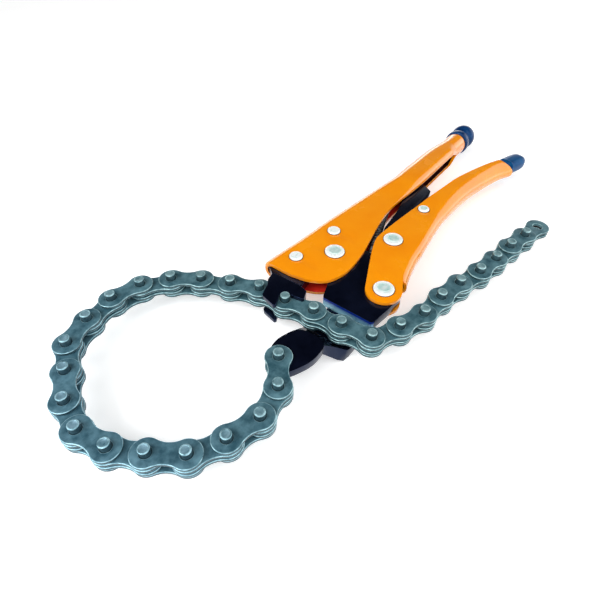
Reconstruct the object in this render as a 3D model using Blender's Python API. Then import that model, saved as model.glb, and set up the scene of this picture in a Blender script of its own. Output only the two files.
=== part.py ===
"""Chain clamp: locking toggle pliers that carry a length of roller chain with extended pins.

The tool lies on its side. The chain pins and all pivots stand along Z, the upper handle runs
towards +X and the chain ring lies towards -X. All sizes below are measured from the main pivot
and from the mid-plane of the pliers and chain. The empty tool_frame then moves the whole tool
so that the flat underside of the nose's neck is centred on the origin.
"""

import math

import bmesh
import bpy
from mathutils import Matrix, Vector

MM = 0.001

# Chain
CHAIN_PITCH = 15.875 * MM
PIN_RADIUS = 2.54 * MM
PIN_HALF_LENGTH = 7.6 * MM
RUNNING_GAP = 0.3 * MM
ROLLER_RADIUS = 5.08 * MM
CHAIN_INSIDE_HALF = 0.6 * MM
LINK_PLATE = 1.6 * MM
OUTER_LOBE_RADIUS = 6.5 * MM
INNER_LOBE_RADIUS = 6.7 * MM
OUTER_WAIST_HALF = 4.6 * MM
INNER_WAIST_HALF = 4.9 * MM
LOBE_OPEN_ANGLE = math.radians(62.0)

# Pivots and rivets, measured from the main pivot
JAW_PIN_X = -74.7 * MM
JAW_PIN_Y = -19.7 * MM
FORK_SEAT_X = -45.05 * MM
FORK_SEAT_Y = -0.16 * MM
HANDLE_PIVOT_X = -9.3 * MM
HANDLE_PIVOT_Y = -36.6 * MM
TOGGLE_PIVOT_X = 29.4 * MM
TOGGLE_PIVOT_Y = -20.7 * MM
LEVER_PIVOT_X = 67.3 * MM
LEVER_PIVOT_Y = -21.3 * MM
FRONT_RIVET_X = -16.4 * MM
FRONT_RIVET_Y = 14.6 * MM
REAR_RIVET_X = 15.3 * MM
REAR_RIVET_Y = 10.8 * MM
MAIN_SHANK_RADIUS = 4.0 * MM
TOGGLE_SHANK_RADIUS = 3.6 * MM
SMALL_SHANK_RADIUS = 2.6 * MM
LEVER_SHANK_RADIUS = 2.2 * MM
MAIN_HEAD_RADIUS = 5.5 * MM
SMALL_HEAD_RADIUS = 3.7 * MM
LEVER_HEAD_RADIUS = 3.4 * MM
RIVET_HEAD_HEIGHT = 1.2 * MM

# Stack across the pliers
HANDLE_INSIDE_HALF = 3.2 * MM
HANDLE_SHEET = 1.8 * MM
STACK_GAP = 0.3 * MM

# Upper handle
BODY_END_X = 79.5 * MM
TUBE_END_X = 168.7 * MM
TUBE_AXIS_Y = 1.0 * MM
TUBE_RADIUS = 7.8 * MM
TUBE_END_WALL = 2.6 * MM
HEAD_BACK_Y = 27.2 * MM
HEAD_BELLY_Y = 14.0 * MM
HEAD_BACK_BEND = 3.0 * MM
TUBE_LIP_BEND = 5.0 * MM
SLOT_HALF = 3.1 * MM
SEAM_HALF = 0.2 * MM
SPRING_POST_RADIUS = 1.2 * MM
UPPER_POST_X = 64.7 * MM
UPPER_POST_Y = 2.0 * MM

# Lower handle
LOWER_END_X = 153.0 * MM
LOWER_BACK_Y = 49.0 * MM
LOWER_BACK_BEND = 4.7 * MM
BOSS_RADIUS = 9.6 * MM

# Fork on the fixed jaw
FORK_PLATE = 2.2 * MM
FORK_SPAN = 20.0 * MM
FORK_WALL = 3.2 * MM
FORK_THROAT_GAP = 0.85 * MM
TANG_REACH = 8.7 * MM
TANG_BACK_GAP = 1.0 * MM
SEAT_RADIUS = 3.1 * MM
TANG_BOSS_CLEARANCE = 0.9 * MM

# Movable jaw and its cranked nose
JAW_WEB_X = 31.2 * MM
JAW_WEB_BEND = 2.2 * MM
JAW_BOSS_RADIUS = 9.1 * MM
JAW_POCKET_X = 2.5 * MM
JAW_CHEEK = 1.2 * MM
JAW_POST_X = 8.0 * MM
JAW_POST_Y = -17.3 * MM
NOSE_HALF = 2.2 * MM
NECK_HALF = 3.1 * MM
BEAK_REACH = 20.9 * MM
NOSE_UNDER_GAP = 0.4 * MM
ROOT_END_X = -21.5 * MM
ROOT_BEND_X = -31.0 * MM
ROOT_LOW_Y = -40.0 * MM
ROOT_HIGH_Y = -17.0 * MM
NECK_START_X = -36.0 * MM
NECK_FRONT_X = -46.0 * MM
NECK_LOW_Y = -39.6 * MM
NECK_HIGH_Y = -13.0 * MM
RAMP_LENGTH = 11.0 * MM
RAMP_OVERLAP = 3.5 * MM
RAMP_LOW_Y = -31.8 * MM
RAMP_HIGH_Y = -15.6 * MM

# Toggle link
TOGGLE_HALF = 2.6 * MM
TOGGLE_BOSS_RADIUS = 7.2 * MM
TOGGLE_LENGTH = 70.6 * MM
TOGGLE_RISE = 21.9 * MM

# Release lever
LEVER_HALF = 2.4 * MM
LEVER_BAR = 3.4 * MM
LEVER_BOSS_RADIUS = 4.4 * MM
LEVER_NOSE_LENGTH = 15.0 * MM
LEVER_STAND_OUT = 14.3 * MM
LEVER_TAIL_DROP = 23.1 * MM
LEVER_KNEE_DROP = 3.8 * MM
LEVER_KNEE_BEND = 20.4 * MM
GRIP_LENGTH = 19.2 * MM
GRIP_HALF_WIDTH = 5.6 * MM
GRIP_HALF_HEIGHT = 4.6 * MM
GRIP_WALL_GAP = 0.3 * MM
GRIP_TAIL_COVER = 6.0 * MM
GRIP_SQUARENESS = 0.72

# Adjusting screw and its knob
SCREW_RADIUS = 4.9 * MM
SCREW_TIP_GAP = 3.2 * MM
SCREW_STUB_RADIUS = 3.4 * MM
KNOB_GAP = 0.6 * MM
KNOB_LENGTH = 19.0 * MM
KNOB_RADIUS = 8.8 * MM
KNOB_NECK_RADIUS = 6.6 * MM

# Return spring
SPRING_RADIUS = 2.1 * MM
SPRING_WIRE_RADIUS = 0.45 * MM
SPRING_TURNS = 18
SPRING_HOOK_RADIUS = 2.1 * MM

CUT_OVERRUN = 2.0 * MM
MERGE_DISTANCE = 0.002 * MM

PIN_SIDES = 10
ARC_STEPS = 7
RIVET_SIDES = 18
KNOB_SIDES = 22
LOFT_BEND_STEPS = 3
COIL_STEPS = 7
WIRE_SIDES = 4

# Derived places and sizes
JAW_PIN = Vector((JAW_PIN_X, JAW_PIN_Y))
FORK_SEAT = Vector((FORK_SEAT_X, FORK_SEAT_Y))
HANDLE_PIVOT = Vector((HANDLE_PIVOT_X, HANDLE_PIVOT_Y))
TOGGLE_PIVOT = Vector((TOGGLE_PIVOT_X, TOGGLE_PIVOT_Y))
LEVER_PIVOT = Vector((LEVER_PIVOT_X, LEVER_PIVOT_Y))
FRONT_RIVET = Vector((FRONT_RIVET_X, FRONT_RIVET_Y))
REAR_RIVET = Vector((REAR_RIVET_X, REAR_RIVET_Y))
UPPER_SPRING_POST = Vector((UPPER_POST_X, UPPER_POST_Y))
JAW_SPRING_POST = Vector((JAW_POST_X, JAW_POST_Y))
LEVER_TAIL_REACH = LOWER_END_X + LEVER_STAND_OUT - LEVER_PIVOT_X
SCREW_TIP_X = TOGGLE_PIVOT_X + TOGGLE_LENGTH + SCREW_TIP_GAP
FORK_THROAT_X = FORK_SEAT_X + INNER_LOBE_RADIUS + FORK_THROAT_GAP
INNER_PLATE_Z = CHAIN_INSIDE_HALF
OUTER_PLATE_Z = INNER_PLATE_Z + LINK_PLATE + STACK_GAP
OUTER_PLATE_TOP = OUTER_PLATE_Z + LINK_PLATE
BORE_RADIUS = PIN_RADIUS + RUNNING_GAP
HANDLE_OUTSIDE_HALF = HANDLE_INSIDE_HALF + HANDLE_SHEET
JAW_OUTSIDE_HALF = HANDLE_INSIDE_HALF - STACK_GAP
JAW_INSIDE_HALF = JAW_OUTSIDE_HALF - JAW_CHEEK
EAR_Z = OUTER_PLATE_TOP + STACK_GAP
EAR_TOP = EAR_Z + FORK_PLATE
NECK_TOP = -(PIN_HALF_LENGTH + NOSE_UNDER_GAP)
NECK_MID = NECK_TOP - NECK_HALF
ROOT_MID = -(JAW_OUTSIDE_HALF + STACK_GAP + NOSE_HALF)
LIFT = NECK_HALF - NECK_MID
NECK_CENTRE_X = (NECK_START_X + NECK_FRONT_X) / 2
NECK_CENTRE_Y = (NECK_LOW_Y + ROOT_HIGH_Y) / 2

# Links of the ring that hang from the jaw's nose. The others hang from the fork.
NOSE_SERIES = 8
# Bend of the chain at each pin of the ring, in degrees, from the jaw's nose round to the fork.
# The last two links close the ring on the fork's seat.
FIRST_LINK_HEADING = -142.1
RING_BENDS = (-26.5, -26.5, -14.0, -25.5, -7.0, -19.5, -26.5, -17.5, -1.0, -34.0,
              -12.5, -20.0, -24.5, -16.0, -11.5)
# Headings of the free tail's links, from the fork to the last link.
TAIL_HEADINGS = (-79.5, -87.5, -82.5, -27.5, -20.5, -6.5, -12.5, -18.0, -11.5, -9.5, -12.0, -12.5)

# Stations along the flat body of the upper handle: X as a share of BODY_END_X, then the back
# edge as a share of HEAD_BACK_Y, the open edge as a share of HEAD_BELLY_Y, and how round the
# section is.
BODY_STATION_SHARES = (
    (-0.370, 0.956, -0.657, 0.0), (-0.360, 0.985, -0.357, 0.0), (-0.348, 0.993, -0.014, 0.0),
    (-0.312, 0.985, 0.436, 0.0), (-0.255, 0.967, 0.764, 0.0), (-0.138, 0.926, 0.986, 0.0),
    (-0.015, 0.882, 1.000, 0.0), (0.130, 0.842, 0.907, 0.0), (0.258, 0.812, 0.750, 0.0),
    (0.494, 0.732, 0.457, 0.0), (0.699, 0.658, 0.307, 0.0), (0.860, 0.599, 0.321, 0.12),
    (1.000, 0.540, 0.400, 0.45),
)
# Stations along its tube: X as a share of the way from BODY_END_X to TUBE_END_X, the back edge
# and the open edge as shares of TUBE_RADIUS from the tube's axis, how round the section is, and
# how far the slot has closed.
TUBE_STATION_SHARES = (
    (0.124, 1.551, 0.972, 0.85, 0.0), (0.259, 1.551, 1.044, 1.0, 0.0), (0.364, 1.500, 1.051, 1.0, 0.0),
    (0.488, 1.462, 1.060, 1.0, 0.0), (0.611, 1.397, 1.070, 1.0, 0.0), (0.719, 1.269, 1.080, 1.0, 0.0),
    (0.834, 1.064, 1.000, 1.0, 1.0), (0.880, 1.000, 1.000, 1.0, 1.0), (1.000, 1.000, 1.000, 1.0, 1.0),
)
# Stations along the lower handle: X as a share of LOWER_END_X, the open edge and the back edge
# as shares of LOWER_BACK_Y, and the half height as a share of HANDLE_OUTSIDE_HALF.
LOWER_STATION_SHARES = (
    (0.019, 0.427, 0.902, 1.0), (0.075, 0.344, 0.854, 1.0), (0.130, 0.279, 0.817, 1.0),
    (0.170, 0.248, 0.797, 1.0), (0.215, 0.252, 0.785, 1.0), (0.330, 0.287, 0.739, 1.0),
    (0.450, 0.333, 0.702, 1.0), (0.545, 0.377, 0.704, 1.18), (0.640, 0.429, 0.718, 1.30),
    (0.720, 0.469, 0.747, 1.36), (0.800, 0.533, 0.794, 1.36), (0.880, 0.610, 0.855, 1.36),
    (0.950, 0.690, 0.922, 1.36), (1.000, 0.761, 1.000, 1.36),
)
# Stations along the grip: length share, width share and height share, from its narrow neck.
GRIP_STATION_SHARES = (
    (0.00, 0.55, 0.80), (0.12, 0.60, 0.86), (0.19, 0.95, 0.98), (0.27, 1.00, 1.00),
    (0.66, 1.00, 1.00), (0.84, 0.93, 0.95), (0.94, 0.76, 0.80), (1.00, 0.45, 0.50),
)
# Corners of flat outlines: X share, Y share and corner radius in shares of the same length.
JAW_CORNER_SHARES = (
    (-0.283, 0.283, 0.275), (0.283, 0.283, 0.275), (0.292, -0.200, 0.12), (0.455, -0.380, 0.07),
    (0.400, -0.640, 0.09), (0.060, -0.860, 0.12), (0.010, -1.465, 0.27), (-0.600, -1.430, 0.05),
    (-1.000, -1.375, 0.06), (-1.000, -0.440, 0.06), (-0.290, -0.175, 0.10),
)
# The fork's ears, about the seat.
EAR_CORNER_SHARES = (
    (0.482, 0.788, 0.025), (0.212, 0.728, 0.075), (0.042, 0.608, 0.075), (-0.322, 0.488, 0.125),
    (-0.438, -0.032, 0.05), (-0.038, 0.148, 0.005), (-0.002, -0.002, 0.005), (0.122, -0.087, 0.005),
    (0.142, -0.217, 0.05), (0.188, -0.447, 0.062), (0.482, -0.317, 0.10), (0.538, 0.033, 0.075),
)
# The beak, about the chain's first pin.
BEAK_CORNER_SHARES = (
    (-0.263, 0.182, 0.263), (0.335, 0.407, 0.38), (1.000, 0.182, 0.07), (1.000, -0.608, 0.07),
    (0.383, -0.641, 0.38), (-0.263, -0.354, 0.19),
)
# The toggle link: X and corner radius in shares of TOGGLE_LENGTH, Y in shares of TOGGLE_RISE.
TOGGLE_CORNER_SHARES = (
    (-0.074, 0.260, 0.069), (0.142, 0.498, 0.11), (0.419, 0.598, 0.11), (0.864, 0.886, 0.05),
    (0.940, 0.977, 0.014), (0.996, 1.000, 0.017), (1.003, 0.817, 0.014), (0.958, 0.772, 0.007),
    (0.950, 0.553, 0.04), (0.899, 0.283, 0.04), (0.815, 0.224, 0.04), (0.628, 0.260, 0.11),
    (0.281, 0.082, 0.11), (0.114, -0.233, 0.055), (-0.074, -0.279, 0.069),
)


def material(name, colour, roughness, metallic):
    """One Principled material for a kind of surface."""
    found = bpy.data.materials.get(name)
    if found:
        return found
    made = bpy.data.materials.new(name)
    made.use_nodes = True
    shader = made.node_tree.nodes["Principled BSDF"]
    shader.inputs["Base Color"].default_value = (*colour, 1.0)
    shader.inputs["Roughness"].default_value = roughness
    shader.inputs["Metallic"].default_value = metallic
    made.diffuse_color = (*colour, 1.0)
    return made


def orange_paint():
    return material("orange_paint", (0.90, 0.28, 0.01), 0.28, 0.0)


def black_steel():
    return material("black_steel", (0.02, 0.022, 0.035), 0.25, 0.3)


def chain_steel():
    return material("chain_steel", (0.24, 0.31, 0.31), 0.42, 0.8)


def bright_zinc():
    return material("bright_zinc", (0.80, 0.86, 0.84), 0.30, 0.9)


def blue_dip():
    return material("blue_dip", (0.02, 0.07, 0.15), 0.45, 0.0)


def spring_steel():
    return material("spring_steel", (0.10, 0.11, 0.12), 0.35, 0.9)


def finish(bm, name, origin, surface):
    """Turn a bmesh drawn in tool coordinates into an object whose origin is on its pivot."""
    bmesh.ops.remove_doubles(bm, verts=bm.verts, dist=MERGE_DISTANCE)
    bmesh.ops.recalc_face_normals(bm, faces=bm.faces)
    bmesh.ops.translate(bm, verts=bm.verts, vec=-origin)
    mesh = bpy.data.meshes.new(name)
    bm.to_mesh(mesh)
    bm.free()
    made = bpy.data.objects.new(name, mesh)
    bpy.context.scene.collection.objects.link(made)
    made.location = origin
    if surface:
        mesh.materials.append(surface())
    return made


def shade(piece):
    """Smooth shading with edges kept sharp."""
    piece.data.shade_smooth()
    piece.data.set_sharp_from_angle(angle=math.radians(35.0))


def at(point, height=0.0):
    return Vector((point[0], point[1], height))


def rounded_outline(corners):
    """Polygon whose corners, each (x, y, radius), are rounded by arcs."""
    points = []
    total = len(corners)
    for index, (x, y, radius) in enumerate(corners):
        here = Vector((x, y))
        before = Vector(corners[index - 1][:2])
        after = Vector(corners[(index + 1) % total][:2])
        to_before = (before - here).normalized()
        to_after = (after - here).normalized()
        half = to_before.angle(to_after) / 2
        setback = radius / math.tan(half)
        limit = min((before - here).length, (after - here).length) / 2
        setback = min(setback, limit)
        radius = setback * math.tan(half)
        centre = here + (to_before + to_after).normalized() * (radius / math.sin(half))
        start = here + to_before * setback - centre
        turn = start.angle_signed(here + to_after * setback - centre)
        steps = max(1, round(abs(turn) / math.radians(30.0)))
        for step in range(steps + 1):
            spin = Matrix.Rotation(-turn * step / steps, 2)
            points.append(centre + spin @ start)
    return points


def circle(centre, radius, sides, phase=0.0):
    points = []
    for step in range(sides):
        angle = phase + 2 * math.pi * step / sides
        points.append(Vector((centre[0] + radius * math.cos(angle), centre[1] + radius * math.sin(angle))))
    return points


def scaled_corners(shares, length, rise, centre=(0.0, 0.0)):
    """Outline corners from shares of a length along X and a rise along Y, measured from a centre."""
    corners = []
    for x, y, radius in shares:
        corners.append((centre[0] + x * length, centre[1] + y * rise, radius * length))
    return corners


def plate(outlines, low, high):
    """Flat plate between two heights. The first outline is the rim, the others are holes."""
    bm = bmesh.new()
    edges = []
    for outline in outlines:
        ring = [bm.verts.new((point[0], point[1], low)) for point in outline]
        for index, vert in enumerate(ring):
            edges.append(bm.edges.new((vert, ring[(index + 1) % len(ring)])))
    bmesh.ops.triangle_fill(bm, use_beauty=True, use_dissolve=False, edges=edges)
    raised = bmesh.ops.extrude_face_region(bm, geom=bm.faces[:])
    moved = [item for item in raised["geom"] if isinstance(item, bmesh.types.BMVert)]
    bmesh.ops.translate(bm, verts=moved, vec=(0.0, 0.0, high - low))
    bmesh.ops.recalc_face_normals(bm, faces=bm.faces)
    return bm


def turned(profile, centre, sides):
    """Solid of revolution about a vertical axis. The profile is (radius, height) from axis to axis."""
    bm = bmesh.new()
    rings = []
    for radius, height in profile:
        if radius == 0.0:
            rings.append([bm.verts.new((centre[0], centre[1], height))])
        else:
            ring = circle(centre, radius, sides)
            rings.append([bm.verts.new((point[0], point[1], height)) for point in ring])
    for lower, upper in zip(rings, rings[1:]):
        join_rings(bm, lower, upper)
    return bm


def join_rings(bm, lower, upper):
    """Faces between two rings of points, either of which may be a single point."""
    count = max(len(lower), len(upper))
    for index in range(count):
        after = (index + 1) % count
        if len(lower) == 1:
            bm.faces.new((lower[0], upper[after], upper[index]))
        elif len(upper) == 1:
            bm.faces.new((lower[index], lower[after], upper[0]))
        else:
            bm.faces.new((lower[index], lower[after], upper[after], upper[index]))


def loft(sections):
    """Closed solid through a row of sections with equal numbers of points."""
    bm = bmesh.new()
    rings = []
    for section in sections:
        rings.append([bm.verts.new(point) for point in section])
    for lower, upper in zip(rings, rings[1:]):
        join_rings(bm, lower, upper)
    bm.faces.new(rings[0])
    bm.faces.new(rings[-1])
    return bm


def tool(bm):
    """Temporary object for one Boolean step."""
    return finish(bm, "cutter", Vector((0.0, 0.0, 0.0)), None)


def combined(bm, steps):
    """Apply Boolean steps, each (operation, bmesh), to a bmesh and return the result."""
    base = tool(bm)
    helpers = []
    for operation, other in steps:
        helper = tool(other)
        helpers.append(helper)
        step = base.modifiers.new(operation, "BOOLEAN")
        step.operation = operation
        step.solver = "EXACT"
        step.object = helper
    bpy.context.view_layer.update()
    graph = bpy.context.evaluated_depsgraph_get()
    result = bmesh.new()
    result.from_object(base, graph)
    for item in [base] + helpers:
        old = item.data
        bpy.data.objects.remove(item)
        bpy.data.meshes.remove(old)
    return result


def drilled(bm, holes):
    """Cut vertical round holes, each (centre, radius), right through."""
    reach = LIFT + CUT_OVERRUN
    steps = []
    for centre, radius in holes:
        steps.append(("DIFFERENCE", plate([circle(centre, radius, RIVET_SIDES)], -reach, reach)))
    return combined(bm, steps)


def mirrored_plates(outlines, low, high):
    """A plate above the mid-plane and its twin below, as two bmeshes."""
    return plate(outlines, low, high), plate(outlines, -high, -low)


def link_outline(lobe_radius, waist_half):
    """Figure-eight rim of a link plate about its two pins."""
    waist_x = CHAIN_PITCH / 2
    points = []
    for side, centre_x in ((1.0, CHAIN_PITCH), (-1.0, 0.0)):
        sweep = math.pi - LOBE_OPEN_ANGLE
        for step in range(ARC_STEPS + 1):
            angle = sweep * (2 * step / ARC_STEPS - 1)
            points.append(Vector((centre_x + side * lobe_radius * math.cos(angle),
                                  side * lobe_radius * math.sin(angle))))
        points.append(Vector((waist_x, side * waist_half)))
    return points


def outer_link_mesh():
    """Two outer plates held by two extended pins."""
    rim = link_outline(OUTER_LOBE_RADIUS, OUTER_WAIST_HALF)
    top, bottom = mirrored_plates([rim], OUTER_PLATE_Z, OUTER_PLATE_TOP)
    near = plate([circle((0.0, 0.0), PIN_RADIUS, PIN_SIDES)], -PIN_HALF_LENGTH, PIN_HALF_LENGTH)
    far = plate([circle((CHAIN_PITCH, 0.0), PIN_RADIUS, PIN_SIDES)], -PIN_HALF_LENGTH, PIN_HALF_LENGTH)
    return combined(top, [("UNION", near), ("UNION", far), ("UNION", bottom)])


def inner_link_mesh():
    """Two inner plates held by two bushes with their rollers, bored for the pins."""
    rim = link_outline(INNER_LOBE_RADIUS, INNER_WAIST_HALF)
    top, bottom = mirrored_plates([rim], INNER_PLATE_Z, INNER_PLATE_Z + LINK_PLATE)
    steps = []
    inside = CHAIN_INSIDE_HALF + LINK_PLATE / 2
    for x in (0.0, CHAIN_PITCH):
        steps.append(("UNION", plate([circle((x, 0.0), ROLLER_RADIUS, PIN_SIDES)], -inside, inside)))
    steps.append(("UNION", bottom))
    reach = PIN_HALF_LENGTH
    for x in (0.0, CHAIN_PITCH):
        steps.append(("DIFFERENCE", plate([circle((x, 0.0), BORE_RADIUS, PIN_SIDES)], -reach, reach)))
    return combined(top, steps)


def heading(angle):
    return Vector((math.cos(angle), math.sin(angle)))


def chain_places():
    """Start point and heading of each link, the ring closed on the fork's seat."""
    places = []
    point = JAW_PIN.copy()
    angle = math.radians(FIRST_LINK_HEADING)
    for bend in RING_BENDS + (0.0,):
        places.append((point, angle))
        point = point + heading(angle) * CHAIN_PITCH
        angle += math.radians(bend)
    gap = FORK_SEAT - point
    base = math.atan2(gap.y, gap.x)
    spread = math.acos(gap.length / (2 * CHAIN_PITCH))
    places.append((point, base + spread))
    places.append((point + heading(base + spread) * CHAIN_PITCH, base - spread))
    point = FORK_SEAT.copy()
    for degrees in TAIL_HEADINGS:
        places.append((point, math.radians(degrees)))
        point = point + heading(math.radians(degrees)) * CHAIN_PITCH
    return places


def link_mesh(bm, name):
    """Mesh that all links of one kind share."""
    made = finish(bm, name, Vector((0.0, 0.0, 0.0)), chain_steel)
    shade(made)
    mesh = made.data
    bpy.data.objects.remove(made)
    return mesh


def hang_links(root, meshes, series):
    """Links (number, pin, heading), each hung on the pin at the free end of the one before it."""
    parent = root
    last_angle = 0.0
    for index, point, angle in series:
        kind = "inner_link" if index % 2 else "outer_link"
        link = bpy.data.objects.new(f"{kind}_{index // 2 + 1:02d}", meshes[index % 2])
        bpy.context.scene.collection.objects.link(link)
        link.parent = parent
        link.location = at(point) if parent is root else Vector((CHAIN_PITCH, 0.0, 0.0))
        link.rotation_euler = (0.0, 0.0, angle - last_angle)
        parent = link
        last_angle = angle


def build_chain(root):
    """Thirty links in three series: from the jaw's nose round the ring, from the fork back to meet
    it, and from the fork along the free tail."""
    meshes = (link_mesh(outer_link_mesh(), "outer_link"), link_mesh(inner_link_mesh(), "inner_link"))
    places = chain_places()
    tail_start = len(places) - len(TAIL_HEADINGS)
    series = [(index, *places[index]) for index in range(NOSE_SERIES)]
    hang_links(root, meshes, series)
    series = [(index, places[index + 1][0], places[index][1] + math.pi)
              for index in range(tail_start - 1, NOSE_SERIES - 1, -1)]
    hang_links(root, meshes, series)
    series = [(index, *places[index]) for index in range(tail_start, len(places))]
    hang_links(root, meshes, series)


def bend_arc(centre_y, centre_z, radius, floor_z, side):
    """Quarter bend of a lip from its cheek down to its edge, cut short where it meets floor_z."""
    if radius <= 0.0 or centre_z >= floor_z:
        sweep = math.pi / 2
    else:
        sweep = math.acos(min(1.0, (floor_z - centre_z) / radius))
    points = []
    for step in range(LOFT_BEND_STEPS, -1, -1):
        angle = sweep * step / LOFT_BEND_STEPS
        points.append((centre_y - side * radius * math.sin(angle), centre_z + radius * math.cos(angle)))
    return points


def channel_section(x, open_y, back_y, half, gap, back_bend, lip_bend, wall):
    """Section of a folded sheet channel at X: its open edge, its back and the bends between."""
    side = 1.0 if back_y > open_y else -1.0

    def half_path(depth):
        inset = min(depth, lip_bend)
        lip = bend_arc(open_y + side * lip_bend, half - depth - lip_bend + inset, lip_bend - inset, gap, side)
        bend = max(back_bend - depth, 0.0)
        points = [(lip[0][0], min(gap, lip[0][1]))] + lip
        high = back_y - side * depth
        for step in range(LOFT_BEND_STEPS + 1):
            angle = math.pi / 2 * step / LOFT_BEND_STEPS
            y = high - side * bend * (1 - math.sin(angle))
            points.append((y, half - depth - bend * (1 - math.cos(angle))))
        return points

    outer = half_path(0.0)
    inner = half_path(wall)
    loop = outer + [(y, -z) for y, z in reversed(outer)]
    loop += [(y, -z) for y, z in inner] + list(reversed(inner))
    return [Vector((x, y, z)) for y, z in loop]


def blend(start, end, amount):
    return start + (end - start) * amount


def upper_stations():
    """X, back edge, open edge, roundness and slot closing along the whole upper handle."""
    stations = []
    for x_share, back_share, open_share, roundness in BODY_STATION_SHARES:
        stations.append((x_share * BODY_END_X, back_share * HEAD_BACK_Y, -open_share * HEAD_BELLY_Y,
                         roundness, 0.0))
    for x_share, back_share, open_share, roundness, closing in TUBE_STATION_SHARES:
        stations.append((blend(BODY_END_X, TUBE_END_X, x_share), TUBE_AXIS_Y + back_share * TUBE_RADIUS,
                         TUBE_AXIS_Y - open_share * TUBE_RADIUS, roundness, closing))
    return stations


def upper_sections():
    """Flat riveted head that runs into a round tube, its slot closing to a seam at the end."""
    sections = []
    for x, back_y, open_y, tube, closing in upper_stations():
        half = blend(HANDLE_OUTSIDE_HALF, TUBE_RADIUS, tube)
        wall = blend(HANDLE_SHEET, TUBE_END_WALL, closing)
        gap = blend(blend(HANDLE_INSIDE_HALF, SLOT_HALF, tube), SEAM_HALF, closing)
        back_bend = blend(HEAD_BACK_BEND, TUBE_RADIUS, tube)
        lip_bend = blend(TUBE_LIP_BEND * tube, TUBE_RADIUS, closing)
        sections.append(channel_section(x, open_y, back_y, half, gap, back_bend, lip_bend, wall))
    return sections


def inside_back(x):
    """Y of the inner face of the upper handle's back at X, less a working gap."""
    stations = upper_stations()
    for before, after in zip(stations, stations[1:]):
        if x <= after[0]:
            break
    amount = max((x - before[0]) / (after[0] - before[0]), 0.0)
    return blend(before[1], after[1], amount) - HANDLE_SHEET - TANG_BACK_GAP


def build_upper_handle(root):
    post = plate([circle(UPPER_SPRING_POST, SPRING_POST_RADIUS, PIN_SIDES)],
                 -(HANDLE_INSIDE_HALF + HANDLE_SHEET / 2), HANDLE_INSIDE_HALF + HANDLE_SHEET / 2)
    body = combined(loft(upper_sections()), [("UNION", post)])
    holes = [((0.0, 0.0), MAIN_SHANK_RADIUS + RUNNING_GAP)]
    for centre in (FRONT_RIVET, REAR_RIVET):
        holes.append((centre, SMALL_SHANK_RADIUS + RUNNING_GAP))
    piece = finish(drilled(body, holes), "upper_handle", Vector((0.0, 0.0, 0.0)), orange_paint)
    piece.parent = root
    shade(piece)


def lower_sections():
    sections = []
    for x_share, open_share, back_share, half_share in LOWER_STATION_SHARES:
        half = half_share * HANDLE_OUTSIDE_HALF
        sections.append(channel_section(x_share * LOWER_END_X, -open_share * LOWER_BACK_Y,
                                        -back_share * LOWER_BACK_Y, half, half - HANDLE_SHEET,
                                        LOWER_BACK_BEND * half_share, 0.0, HANDLE_SHEET))
    return sections


def boss_outline():
    """Flat cheek from the handle pivot's boss to the start of the folded channel."""
    x_share, open_share, back_share = LOWER_STATION_SHARES[1][:3]
    x = x_share * LOWER_END_X
    upper = -open_share * LOWER_BACK_Y
    lower = -back_share * LOWER_BACK_Y + LOWER_BACK_BEND
    points = [Vector((x, lower)), Vector((x, upper))]
    for step in range(2 * ARC_STEPS + 1):
        angle = math.radians(112.0) + math.radians(180.0) * step / (2 * ARC_STEPS)
        points.append(Vector((HANDLE_PIVOT.x + BOSS_RADIUS * math.cos(angle),
                              HANDLE_PIVOT.y + BOSS_RADIUS * math.sin(angle))))
    return points


def build_lower_handle(root):
    top, bottom = mirrored_plates([boss_outline()], HANDLE_INSIDE_HALF, HANDLE_OUTSIDE_HALF)
    body = combined(loft(lower_sections()), [("UNION", top), ("UNION", bottom)])
    holes = [(HANDLE_PIVOT, MAIN_SHANK_RADIUS + RUNNING_GAP),
             (TOGGLE_PIVOT, TOGGLE_SHANK_RADIUS + RUNNING_GAP),
             (LEVER_PIVOT, LEVER_SHANK_RADIUS + RUNNING_GAP)]
    piece = finish(drilled(body, holes), "lower_handle", at(HANDLE_PIVOT), orange_paint)
    piece.parent = root
    shade(piece)


def tang_outline():
    """Tang from the fork's wall back over both rivets, just inside the head's back."""
    front_x = FORK_THROAT_X + FORK_WALL / 2
    top_x = FRONT_RIVET_X - TANG_REACH * 1.5
    rear_x = REAR_RIVET_X + TANG_REACH
    corners = [(front_x, inside_back(front_x) - TANG_REACH, TANG_REACH * 0.05),
               (top_x, inside_back(top_x), TANG_REACH * 0.12),
               (rear_x, inside_back(rear_x), TANG_REACH * 0.2),
               (rear_x, REAR_RIVET_Y - TANG_REACH * 0.53, TANG_REACH * 0.2),
               (REAR_RIVET_X - TANG_REACH * 0.32, REAR_RIVET_Y - TANG_REACH * 0.78, TANG_REACH * 0.2),
               (FRONT_RIVET_X + TANG_REACH * 0.7, FRONT_RIVET_Y - TANG_REACH * 1.33, TANG_REACH * 0.12),
               (front_x, FORK_SEAT_Y - TANG_REACH * 0.1, TANG_REACH * 0.05)]
    return rounded_outline(corners)


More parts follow.
